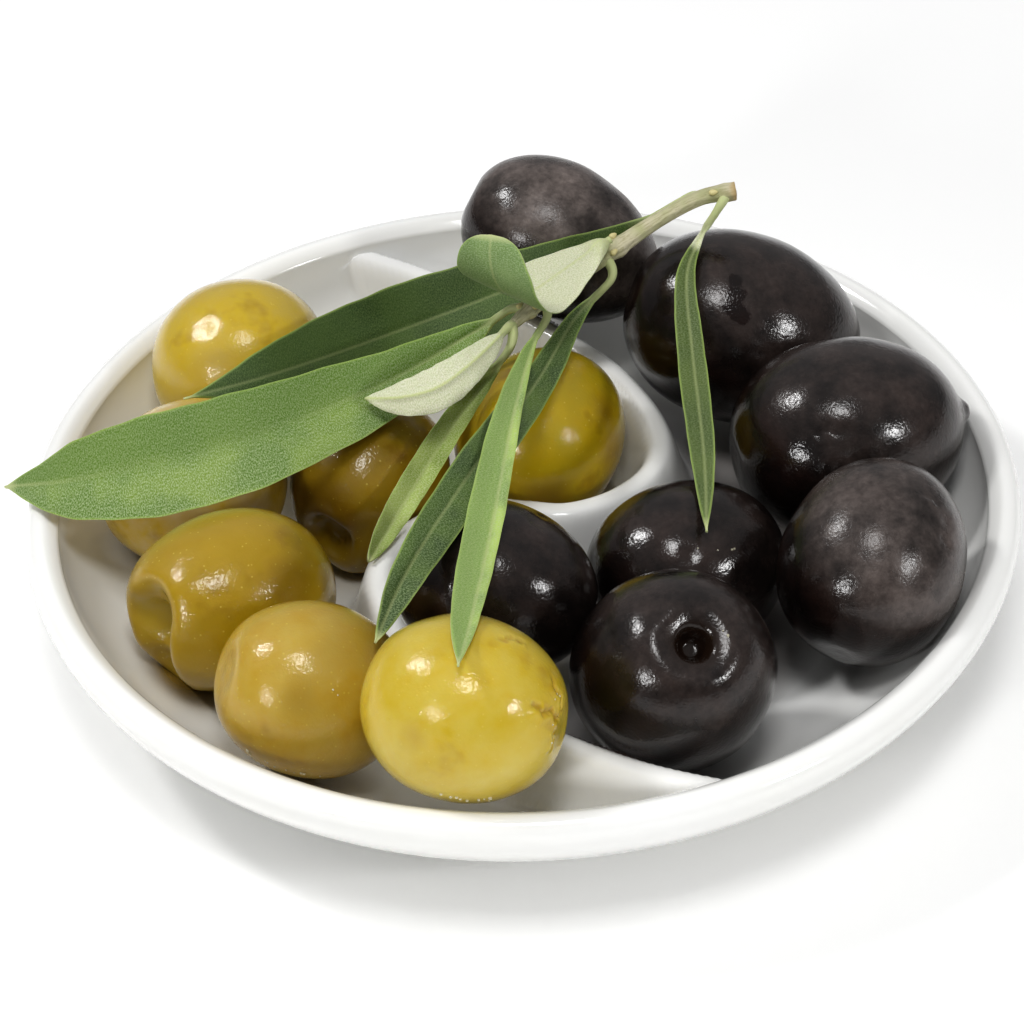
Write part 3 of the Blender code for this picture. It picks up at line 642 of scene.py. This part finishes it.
def leafSkin(name, spec):
    # olive leaf: leathery green above, set with fine silvery scales, a pale midrib and a yellow-green
    # edge; the underside is felted with the same scales to a creamy grey. The scales are really about
    # 0.1 mm across and are drawn at 0.15 mm, so that they show. The UV map is in units of 10 mm
    material, tree, shader = startMaterial(name)
    uv = addNode(tree, "UVMap", uv_map="inMm")
    stretch = addNode(tree, "Mapping", {"Vector": (uv, "UV"), "Scale": (1.0, 0.55, 1.0)})
    scales, veins, zones = (
        addNode(tree, "TexNoise", {"Vector": vector, "Scale": 10.0 / leafForm[size], "Detail": detail,
                                   "Roughness": rough}, noise_dimensions="2D")
        for vector, size, detail, rough in (
            ((stretch, "Vector"), "scaleMm", 2.0, 0.7),
            ((stretch, "Vector"), "veinMm", 2.0, 0.5),
            ((uv, "UV"), "zoneMm", 3.0, 0.5)))
    across, fromRib, fromEdge, upper, reach = (
        addNode(tree, "Attribute", attribute_name=key)
        for key in ("across", "fromRib", "fromEdge", "upper", "reach"))
    # painted shade: the half of the blade past the midrib is mixed toward the dark green by shaded, as if
    # turned from the light, and keeps fewer flecks; the other half keeps the paler, lit blade green
    fleck, turned, ribLine, edgeLine = (
        addNode(tree, "MapRange", {"Value": (source, "Fac"), "From Min": low, "From Max": high,
                                   "To Max": end})
        for source, low, high, end in (
            (scales, 0.42, 0.64, 0.72),
            (across, -0.25, 0.25, spec["shaded"]),
            (fromRib, 0.32, 0.06, spec["ribTone"]),
            (fromEdge, 0.32, 0.06, 0.55)))
    sparse = addNode(tree, "Math", {0: (turned, "Result"), 1: -0.4, 2: 1.0}, operation="MULTIPLY_ADD")
    kept = addNode(tree, "Math", {0: (sparse, "Value"), 1: (fleck, "Result")}, operation="MULTIPLY")
    ground = addNode(tree, "ValToRGB", {"Fac": (zones, "Fac")},
                     [(0.38, spec["dark"]), (0.62, spec["blade"])])
    colour = (ground, "Color")
    for factor, tint in (((turned, "Result"), spec["dark"]), ((kept, "Value"), spec["fleck"]),
                         ((ribLine, "Result"), leafForm["rib"]), ((edgeLine, "Result"), leafForm["edge"])):
        colour = (addNode(tree, "Mix", {0: factor, 6: colour, 7: toLinear(tint)}, data_type="RGBA"), 2)
    felt = addNode(tree, "ValToRGB", {"Fac": (scales, "Fac")},
                   [(0.32, leafForm["felt"]), (0.66, leafForm["feltLight"])])
    belowRib = addNode(tree, "Mix", {0: (ribLine, "Result"), 6: (felt, "Color"),
                                     7: toLinear(leafForm["feltRib"])}, data_type="RGBA")
    faces = addNode(tree, "Mix", {0: (upper, "Fac"), 6: (belowRib, 2), 7: colour}, data_type="RGBA")
    ends = addNode(tree, "ValToRGB", {"Fac": (reach, "Fac")},
                   [(0.02, 1.0), (0.16, 0.0), (0.965, 0.0), (0.995, 1.0)])
    tipped = addNode(tree, "Mix", {0: (ends, "Color"), 6: (faces, 2),
                                   7: toLinear(leafForm["stalk"])}, data_type="RGBA")
    leathery = addNode(tree, "Bump", {"Height": (veins, "Fac"), "Strength": 0.4, "Distance": 0.00012})
    scaly = addNode(tree, "Bump", {"Height": (scales, "Fac"), "Strength": 0.5,
                                   "Distance": 0.00006, "Normal": (leathery, "Normal")})
    plug(tree, shader, {
        "Base Color": (tipped, 2), "Normal": (scaly, "Normal"), "Roughness": 0.55, "IOR": 1.42,
        "Subsurface Weight": 0.12, "Subsurface Radius": (0.6, 1.0, 0.3), "Subsurface Scale": 0.0006,
        "Sheen Weight": 0.12})
    return material


def closeSheet(name, node, upper, lower, spec, half, reach, uLine):
    # the upper and the lower grid of a leaf, joined round their edge, with its measures as attributes
    rows, cols = upper.shape[:2]
    off = rows * cols
    i, j = np.meshgrid(np.arange(rows - 1), np.arange(cols - 1), indexing="ij")
    a = (i * cols + j).ravel()
    top = np.stack([a, a + 1, a + cols + 1, a + cols], axis=-1)
    edge = np.concatenate([np.arange(cols), np.arange(2, rows + 1) * cols - 1,
                           (rows - 1) * cols + np.arange(cols - 2, -1, -1),
                           np.arange(rows - 2, 0, -1) * cols])
    after = np.roll(edge, -1)
    side = np.stack([edge, edge + off, after + off, after], axis=-1)
    points = np.vstack([upper.reshape(-1, 3), lower.reshape(-1, 3)])
    v = acrossLeaf()
    rib = half[:, None] * np.abs(v[None] - spec["rib"])
    margin = half[:, None] * (1.0 - np.abs(v))[None]
    layers = {"fromRib": rib, "fromEdge": margin, "reach": reach[:, None], "upper": np.ones((1, 1)),
              "across": v[None] - spec["rib"]}
    layers = {key: np.tile(np.broadcast_to(values, (rows, cols)).ravel(), 2)
              for key, values in layers.items()}
    layers["upper"][off:] = 0.0
    if spec.get("flipped"):
        layers["upper"] = 1.0 - layers["upper"]
    if "paleTo" in spec:
        pale = spec["paleTo"]
        layers["upper"] = layers["upper"] * fade(layers["reach"], pale - 0.03, pale + 0.03)
    uv = np.stack([uLine[:, None] + 0.0 * v, half[:, None] * v[None]], axis=-1).reshape(-1, 2) / 10.0
    faces = [top, top[:, ::-1] + off, side]
    return putMesh(name, points, faces, leafSkin(name + "Skin", spec), layers,
                   np.tile(uv, (2, 1)), nodes=(node,))


def leafThickness(half, reach, spec, v):
    # thin at the edge and round on the stalk, with a groove over the midrib and a rib under it
    solid = fade(reach, 0.16, 0.04)[:, None]
    blade = leafForm["rim"] + (leafForm["thickness"] - leafForm["rim"]) * (1.0 - np.abs(v) ** 6)[None]
    stalk = 2.0 * half[:, None] * np.sqrt(np.maximum(1.0 - v ** 2, 0.02))[None]
    body = blade + (stalk - blade) * solid
    rib = np.exp(-(half[:, None] * (v[None] - spec["rib"]) / leafForm["ribHalf"]) ** 2) * (1.0 - solid)
    shrink = fade(reach, 1.0, 0.8)[:, None]
    return body / 2.0 - leafForm["groove"] * rib * shrink, body / 2.0 + leafForm["ribDrop"] * rib * shrink


def makeLeaf(name, spec, index):
    # points line + across half v + up (fold half (|v|^1.3 - 1/2) + 0.05 half sin(9u + 1.9 index) v
    # + 0.09 sin(38u + 2 index + 2v) |v|^3), led back into the stem by a stalk
    steps, extra = leafForm["steps"], leafForm["petioleSteps"]
    line = smoothLine(spec["line"], steps)
    away = unit(line[0] - line[2])
    stemLine = smoothLine(stem["line"], 400)
    root = stemLine[np.linalg.norm(stemLine - line[0] - leafForm["reachBack"] * away, axis=1).argmin()]
    guide = line[0] + 0.6 * np.linalg.norm(root - line[0]) * away
    back = np.linspace(0.0, 1.0, extra, endpoint=False)[:, None]
    stalk = root * (1.0 - back) ** 2 + 2.0 * guide * back * (1.0 - back) + line[0] * back ** 2
    line = np.vstack([stalk, line])
    u = np.concatenate([np.zeros(extra), np.linspace(0.0, 1.0, steps)])
    along = unit(np.gradient(smoothRows(line, 5), axis=0))
    look = heading(*spec["face"])
    up = unit(look - (along @ look)[:, None] * along)
    across = np.cross(along, up)
    v = acrossLeaf()
    flare = 0.25 * np.concatenate([1.0 - back[:, 0], np.zeros(steps)])
    half = halfWidth(u, spec) + flare
    half = half * (1.0 + 0.012 * np.sin(47.0 * u + index) + 0.008 * np.sin(101.0 * u))
    bend = spec["fold"] * half[:, None] * (np.abs(v)[None] ** 1.3 - 0.5) * fade(u, 0.0, 0.12)[:, None]
    wave = 0.05 * half[:, None] * np.sin(9.0 * u[:, None] + 1.9 * index) * v[None]
    ruffle = 0.09 * np.sin(38.0 * u[:, None] + 2.0 * index + 2.0 * v[None]) * np.abs(v)[None] ** 3
    lift = (bend + wave + ruffle * fade(u, 0.1, 0.3)[:, None])[..., None]
    mid = line[:, None] + across[:, None] * (half[:, None] * v[None])[..., None] + up[:, None] * lift
    above, below = leafThickness(half, u, spec, v)
    if spec.get("flipped"):
        above, below = below, above
    run = runAlong(line)
    return closeSheet(name.replace("_", ""), name, mid + up[:, None] * above[..., None],
                      mid - up[:, None] * below[..., None], spec, half, u, run)


def smoothRows(line, passes):
    # each row becomes a quarter of its neighbours and half of itself, the ends kept
    line = line.copy()
    for _ in range(passes):
        line[1:-1] = 0.25 * line[:-2] + 0.5 * line[1:-1] + 0.25 * line[2:]
    return line


def makeCurledLeaf(name, spec):
    # a flat leaf carried round a cylinder that lies across it at a slant, so its far part turns over
    u = np.linspace(0.0, 1.0, 240)
    v = acrossLeaf()
    half = halfWidth(u, spec) * (1.0 + 0.012 * np.sin(41.0 * u))
    x = (u * spec["length"])[:, None] + 0.0 * v[None]
    y = half[:, None] * v[None]
    skew = math.radians(spec["skew"])
    fold = np.array([math.cos(skew), -math.sin(skew)])
    past = np.array([math.sin(skew), math.cos(skew)])
    dx = x - spec["rollAt"]
    beyond = dx * past[0] + y * past[1]
    alongFold = dx * fold[0] + y * fold[1] - spec["swing"] * np.maximum(beyond, 0.0)
    radius, turn = spec["rollRadius"], math.radians(spec["rollTurn"])
    angle = np.clip(beyond / radius, 0.0, turn)
    rest = np.maximum(beyond - radius * turn, 0.0)
    flat = np.minimum(beyond, 0.0) + radius * np.sin(angle) + rest * np.cos(angle)
    lift = radius * (1.0 - np.cos(angle)) + rest * np.sin(angle)
    along = unit(spec["along"])
    face = unit(np.array(spec["face"]) - np.dot(spec["face"], along) * along)
    side = np.cross(face, along)
    foldDir = fold[0] * along + fold[1] * side
    pastDir = past[0] * along + past[1] * side
    start = np.array(spec["start"]) + spec["rollAt"] * along
    mid = start + alongFold[..., None] * foldDir + flat[..., None] * pastDir + lift[..., None] * face
    out = pastDir * -np.sin(angle)[..., None] + face * np.cos(angle)[..., None]
    below, above = leafThickness(half, u, spec, v)
    return closeSheet("leafCurled", name, mid + out * above[..., None], mid - out * below[..., None],
                      {**spec, "flipped": True}, half, u, u * spec["length"])


def barkSkin():
    # young olive twig: grey-cream bark over green, with fine lengthwise cracks and a dull surface
    material, tree, shader = startMaterial("oliveBark")
    uv = addNode(tree, "UVMap", uv_map="inMm")
    stretch = addNode(tree, "Mapping", {"Vector": (uv, "UV"), "Scale": (0.14, 1.0, 1.0)})
    streaks, zones = (
        addNode(tree, "TexNoise", {"Vector": vector, "Scale": 10.0 / stem[size], "Detail": detail,
                                   "Roughness": rough}, noise_dimensions="2D")
        for vector, size, detail, rough in (((stretch, "Vector"), "streakMm", 4.0, 0.65),
                                            ((uv, "UV"), "zoneMm", 2.0, 0.5)))
    under = addNode(tree, "ValToRGB", {"Fac": (zones, "Fac")},
                    [(0.4, stem["green"]), (0.6, stem["bark"])])
    crack = addNode(tree, "MapRange", {"Value": (streaks, "Fac"), "From Min": 0.5, "From Max": 0.32,
                                       "To Max": 0.7})
    cut = addNode(tree, "Attribute", attribute_name="cut")
    colour = (under, "Color")
    for factor, tint in (((crack, "Result"), stem["barkDark"]), ((cut, "Fac"), stem["cut"])):
        colour = (addNode(tree, "Mix", {0: factor, 6: colour, 7: toLinear(tint)}, data_type="RGBA"), 2)
    bump = addNode(tree, "Bump", {"Height": (streaks, "Fac"), "Strength": 0.6, "Distance": 0.00015})
    plug(tree, shader, {"Base Color": colour, "Normal": (bump, "Normal"), "Roughness": 0.62,
                        "IOR": 1.45, "Sheen Weight": 0.1})
    return material


# buds in the leaf joints: how far down the stem and the angle round it, and the form of one
buds = {"places": ((0.08, 2.4), (0.435, 1.0), (0.475, 2.5), (0.84, 2.4), (0.885, 0.8)),
        "halfLength": 0.62, "halfWidth": 0.42, "stand": 0.2, "rings": 10, "sides": 16, "scales": "#cfc58f"}


def budSkin():
    # resting buds: cream scales, dull and slightly waxy
    material, tree, shader = startMaterial("budScales")
    plug(tree, shader, {"Base Color": toLinear(buds["scales"]), "Roughness": 0.45})
    return material


def makeBuds(line, radii, along, side, up):
    # small eggs that lie on the bark, pointing up the stem: cos(p) long and sin(p) (1 - cos(p) / 4) wide
    p, a = ballAngles(buds["rings"], buds["sides"])
    points, faces = [], []
    for place, angle in buds["places"]:
        k = int(place * (len(line) - 1))
        out = math.cos(angle) * side[k] + math.sin(angle) * up[k]
        beside = np.cross(along[k], out)
        egg = (np.cos(p) + 0.0 * a)[..., None] * -buds["halfLength"] * along[k]
        waist = buds["halfWidth"] * np.sin(p) * (1.0 - 0.25 * np.cos(p))
        egg = egg + (waist * np.cos(a))[..., None] * out + (waist * np.sin(a))[..., None] * beside
        ball = ballPoints(line[k] + (radii[k] + buds["stand"]) * out + egg)
        faces += [rows + len(points) * len(ball) for rows in ballFaces(buds["rings"], buds["sides"])]
        points.append(ball)
    return putMesh("stemBuds", np.vstack(points), faces, budSkin())


def makeStem(bark):
    # a tube of varying radius along the stem's line, ribbed lengthwise by sin(7a) and sin(11a), and
    # swollen by swell exp(-((t - joint) / jointReach)^2) where the leaves join
    line = smoothLine(stem["line"], stem["steps"])
    radii = smoothLine([(r,) for r in stem["radii"]], stem["steps"])[:, 0]
    t = np.linspace(0.0, 1.0, stem["steps"])
    for joint, swell in stem["joints"]:
        radii = radii + swell * np.exp(-((t - joint) / stem["jointReach"]) ** 2)
    along = unit(np.gradient(line, axis=0))
    side = unit(np.cross(along, (0.0, 0.0, 1.0)))
    up = np.cross(side, along)
    a = np.linspace(0.0, 2.0 * math.pi, stem["sides"], endpoint=False)
    ribs = 1.0 + 0.035 * np.sin(7.0 * a[None] + 5.0 * t[:, None])
    ribs = ribs + 0.02 * np.sin(11.0 * a[None] - 9.0 * t[:, None])
    r = (radii[:, None] * ribs)[..., None]
    out = side[:, None] * np.cos(a)[None, :, None] + up[:, None] * np.sin(a)[None, :, None]
    grid = line[:, None] + r * out
    slant = 0.5 * np.cos(a + 0.8)[:, None] * along[0]
    grid[0] = grid[0] + slant
    cap0 = line[:1] - 0.15 * along[0]
    cap1 = line[-1:] + 0.3 * along[-1]
    points = np.vstack([cap0, grid.reshape(-1, 3), cap1])
    run = runAlong(line)
    around = np.abs(a - math.pi)  # the arc in mm, for a stem of 1 mm radius
    uv = np.stack([run[:, None] + 0.0 * a, around[None] + 0.0 * run[:, None]], axis=-1).reshape(-1, 2)
    uv = np.vstack([[0.0, 0.0], uv, [run[-1], 0.0]]) / 10.0
    cut = np.concatenate([[1.0], (np.exp(-run / 0.25)[:, None] + 0.0 * a).ravel(), [0.0]])
    makeBuds(line, radii, along, side, up)
    return putMesh("stemBark", points, ballFaces(stem["steps"], stem["sides"]), bark,
                   {"cut": cut}, uv, nodes=("stem",))


# the brine: a thin tinted film on the floor of each half, drawn up round the foot of every olive. Its stain
# is partly painted shade: darkest at the olives' feet for their contact shadows, and the deeper dark pool
# greys the black olives' floor, which lies in their shadow
brine = {"step": 0.45, "rise": 1.3, "reach": 1.5, "thinnest": 0.05, "radius": 56.0, "fadeOut": 6.0,
         "poolTop": 1.6, "steep": 1.4, "slack": 0.8, "greenPool": 0.12, "darkPoolShade": 0.5,
         "green": "#80682a", "dark": "#3a231d"}
# bubbles and drops on an olive: the olive, from and to as heading and tilt, how many, and their radius
bubbles = (("green_olive_6", (-134, -14), (-84, -31), 12, 0.2),
           ("green_olive_7", (-111, -26), (-72, -31), 12, 0.2),
           ("green_olive_5", (-129, 2), (-127, -20), 8, 0.22),
           ("green_olive_6", (-66, 37), (-62, 31), 3, 0.15),
           ("green_olive_7", (-28, 26), (-12, 22), 4, 0.15),
           ("green_olive_7", (-32, 12), (-36, -4), 4, 0.14),
           ("black_olive_5", (-90, 56), (-50, 46), 4, 0.16),
           ("black_olive_6", (-50, 56), (-31, 48), 3, 0.15))


def olivesOf(table):
    # each olive as its middle and the matrix of an ellipsoid q = sqrt(p' M p) of its half sizes
    forms = []
    for spec in table.values():
        length, width = spec["half"]
        axis = heading(spec["turn"], spec["tip"])
        matrix = np.eye(3) / width ** 2 + np.outer(axis, axis) * (1.0 / length ** 2 - 1.0 / width ** 2)
        forms.append((np.array(spec["at"]), matrix))
    return forms


def clearance(points, forms):
    # distance to the nearest olive: (q - 1) over the length of the gradient of q
    nearest = np.full(points.shape[:-1], 99.0)
    for middle, matrix in forms:
        away = points - middle
        pull = away @ matrix
        q = np.sqrt((away * pull).sum(axis=-1))
        nearest = np.minimum(nearest, (q - 1.0) * q / np.maximum(np.linalg.norm(pull, axis=-1), 1e-6))
    return nearest


def ridgeSide(x, y):
    # above 0 on the black olives' side of the S line: its direction crossed with the way from it
    line, where, away = nearestOnRidge(x, y, 240)
    along = np.gradient(line, axis=0)[where]
    return (along[:, 0] * away[:, 1] - along[:, 1] * away[:, 0]).reshape(x.shape)


def filmDepth(x, y, forms, poolDepth):
    # pool over the flat floor plus rise exp(-clearance / reach) round the olives, none on steep walls; the
    # rise also paints the contact shade at each olive's foot
    ground = insideHeight(x, y)
    near = clearance(np.stack([x, y, ground], axis=-1), forms)
    pool = poolDepth * fade(ground, dish["floorHeight"] + brine["poolTop"], dish["floorHeight"])
    depth = pool + brine["rise"] * np.exp(-np.maximum(near, 0.0) / brine["reach"])
    slope = np.hypot(*np.gradient(ground, x[1, 0] - x[0, 0]))
    return ground, (depth - brine["thinnest"]) * fade(slope, brine["steep"], brine["slack"])


def brineAndShadeFilm(name, colour):
    # salty water tinged by the fruit: a clear gloss over the glaze that stains it more where it is deep,
    # and this stain is also painted shade
    material, tree, shader = startMaterial(name)
    depth = addNode(tree, "Attribute", attribute_name="depth")
    cover = addNode(tree, "MapRange", {"Value": (depth, "Fac"), "From Max": 0.8, "To Max": 0.85})
    plug(tree, shader, {"Base Color": toLinear(colour), "Roughness": 0.04, "IOR": 1.6,
                        "Alpha": (cover, "Result")})
    return material


def makeFilm(name, forms, side, colour, poolDepth):
    # square cells that carry liquid, closed above by its surface and below just inside the glaze; the
    # depth fades out at the film's radius and beside the ridge
    count = int(2.0 * brine["radius"] / brine["step"])
    line = np.linspace(-brine["radius"], brine["radius"], count)
    x, y = np.meshgrid(line, line, indexing="ij")
    ground, depth = filmDepth(x, y, forms, poolDepth)
    fromRidge = side * ridgeSide(x, y)
    outer = fade(np.hypot(x, y), brine["radius"], brine["radius"] - brine["fadeOut"])
    depth = depth * outer * fade(fromRidge, 0.2, 2.2)
    wet = (depth > 0.0) & (fromRidge > 0.0)
    cell = wet[:-1, :-1] & wet[1:, :-1] & wet[1:, 1:] & wet[:-1, 1:]
    i, j = np.nonzero(cell)
    a = i * count + j
    top = np.stack([a, a + count, a + count + 1, a + 1], axis=-1)
    total = count * count
    walls = []
    padded = np.pad(cell, 1)
    for di, dj, first, second in ((-1, 0, 0, 1), (1, 0, count + 1, count), (0, -1, count, 0),
                                  (0, 1, 1, count + 1)):
        edge = ~padded[i + 1 + di, j + 1 + dj]
        p, q = a[edge] + first, a[edge] + second
        walls.append(np.stack([p, q, q + total, p + total], axis=-1))
    faces = [top, top[:, ::-1] + total] + walls
    used = np.zeros(2 * total, dtype=bool)
    for rows in faces:
        used[rows.ravel()] = True
    place = np.cumsum(used) - 1
    faces = [place[rows] for rows in faces]
    surface = np.stack([x, y, ground + np.maximum(depth, 0.0) + 0.01], axis=-1).reshape(-1, 3)
    under = np.stack([x, y, ground - 0.12], axis=-1).reshape(-1, 3)
    points = np.vstack([surface, under])[used]
    deep = np.tile(np.maximum(depth, 0.0).ravel(), 2)[used]
    return putMesh(name, points, faces, brineAndShadeFilm(name, colour), {"depth": deep})


def bubbleSkin():
    # small air bubbles: bright pin-points of light on a clear round skin
    material, tree, shader = startMaterial("brineBubbles")
    plug(tree, shader, {"Base Color": toLinear("#efe9cf"), "Roughness": 0.03, "IOR": 1.5, "Alpha": 0.5})
    return material


def makeBubbles(skins):
    # small balls half sunk in an olive's skin, strung unevenly between two directions
    rng = np.random.default_rng(5)
    rings, sides = 8, 12
    p, a = ballAngles(rings, sides)
    ball = ballPoints(np.stack([np.sin(p) * np.cos(a), np.sin(p) * np.sin(a), np.cos(p) + 0.0 * a], axis=-1))
    points, faces = [], []
    for olive, (turn0, tip0), (turn1, tip1), count, radius in bubbles:
        radial, grid = skins[olive]
        for s in np.sort(rng.uniform(0.0, 1.0, count)):
            turn = turn0 + (turn1 - turn0) * s + rng.normal() * 1.5
            tip = tip0 + (tip1 - tip0) * s + rng.normal() * 1.5
            centre = grid[(radial @ heading(turn, tip)).argmax()]
            faces += [rows + len(points) * len(ball) for rows in ballFaces(rings, sides)]
            points.append(centre + radius * rng.uniform(0.5, 1.3) * ball)
    return putMesh("brineBubbles", np.vstack(points), faces, bubbleSkin())


def build():
    makeDish()
    skins = {}
    for table, slot, makeSkin, label in ((greenOlives, "green_olive", greenOliveSkin, "greenSkin"),
                                         (blackOlives, "black_olive", blackOliveSkin, "blackSkin")):
        for index, (name, spec) in enumerate(table.items()):
            skin = makeSkin(label + str(index + 1), spec)
            skins[name] = makeOlive(name, spec, len(skins), skin)
    makeStem(barkSkin())
    for index, (name, spec) in enumerate(leaves.items()):
        makeLeaf(name, spec, index)
    makeCurledLeaf("leaf_3", curled)
    makeFilm("brineShadeLeft", olivesOf(greenOlives), -1.0, brine["green"], brine["greenPool"])
    makeFilm("brineShadeRight", olivesOf(blackOlives), 1.0, brine["dark"], brine["darkPoolShade"])
    makeBubbles(skins)


# the studio: a white table, a surround that is bright overhead and dim low down, and small soft boxes
studio = {
    "table": "#fbfbfa", "tableSize": 6.0, "aim": (-0.0014, 0.0007, 0.015),
    "camera": (-0.001436, -0.348, 0.2994), "lens": 119.53, "tilt": 39.2, "roll": -2.30,
    "sky": "#fdfdff", "low": 0.13, "high": 0.49, "lean": 0.4, "span": 1.1,
    "boxes": (  # heading, height angle, distance, size, watts
        (163, 51, 0.9, 0.13, 2.2),
        (-88, 70, 0.9, 0.22, 2.2),
        (-126, 22, 0.9, 0.12, 1.5),
        (-35, 27, 0.8, 0.1, 1.3),
    ),
}


def makeTable():
    size = studio["tableSize"]
    mesh = bpy.data.meshes.new("table")
    corners = [(x * size, y * size, -0.0004) for x, y in ((-1, -1), (1, -1), (1, 1), (-1, 1))]
    mesh.from_pydata(corners, [], [(0, 1, 2, 3)])
    table = addObject("table", mesh)
    material, tree, shader = startMaterial("paintedTable")
    plug(tree, shader, {"Base Color": toLinear(studio["table"]), "Roughness": 0.9})
    mesh.materials.append(material)


def makeLight():
    # the surround brightens with z + lean y of the direction: dim low down and in front, bright overhead
    world = bpy.data.worlds.new("studio")
    bpy.context.scene.world = world
    world.use_nodes = True
    tree = world.node_tree
    tree.nodes.clear()
    place = addNode(tree, "TexCoord")
    axes = addNode(tree, "SeparateXYZ", {"Vector": (place, "Generated")})
    rise = addNode(tree, "Math", {0: (axes, "Y"), 1: studio["lean"], 2: (axes, "Z")},
                   operation="MULTIPLY_ADD")
    level = addNode(tree, "MapRange", {"Value": (rise, "Value"), "From Max": studio["span"],
                                       "To Min": studio["low"], "To Max": studio["high"]})
    sky = addNode(tree, "Background", {"Color": toLinear(studio["sky"]), "Strength": (level, "Result")})
    addNode(tree, "OutputWorld", {"Surface": (sky, "Background")})
    for k, (turn, tip, distance, size, watts) in enumerate(studio["boxes"]):
        light = bpy.data.lights.new("softBox" + str(k + 1), "AREA")
        light.size = size
        light.energy = watts
        box = addObject(light.name, light)
        toward = Vector(heading(turn, tip))
        box.location = Vector(studio["aim"]) + toward * distance
        box.rotation_euler = toward.to_track_quat("Z", "Y").to_euler()


def makeCamera():
    # looks down by the tilt along +Y, turned by the roll about its own line of sight
    tilt, roll = math.radians(studio["tilt"]), math.radians(studio["roll"])
    right = Vector((1.0, 0.0, 0.0))
    up = Vector((0.0, math.sin(tilt), math.cos(tilt)))
    back = Vector((0.0, -math.cos(tilt), math.sin(tilt)))
    x = right * math.cos(roll) + up * math.sin(roll)
    y = up * math.cos(roll) - right * math.sin(roll)
    data = bpy.data.cameras.new("camera")
    data.lens = studio["lens"]
    data.sensor_width = 36.0
    camera = addObject("camera", data)
    turned = Matrix((x, y, back)).transposed().to_4x4()
    camera.matrix_world = Matrix.Translation(Vector(studio["camera"])) @ turned
    bpy.context.scene.camera = camera


build()
makeTable()
makeLight()
makeCamera()
bpy.context.scene.view_settings.view_transform = "Standard"
bpy.context.scene.view_settings.look = "Medium High Contrast"
print("studio set")
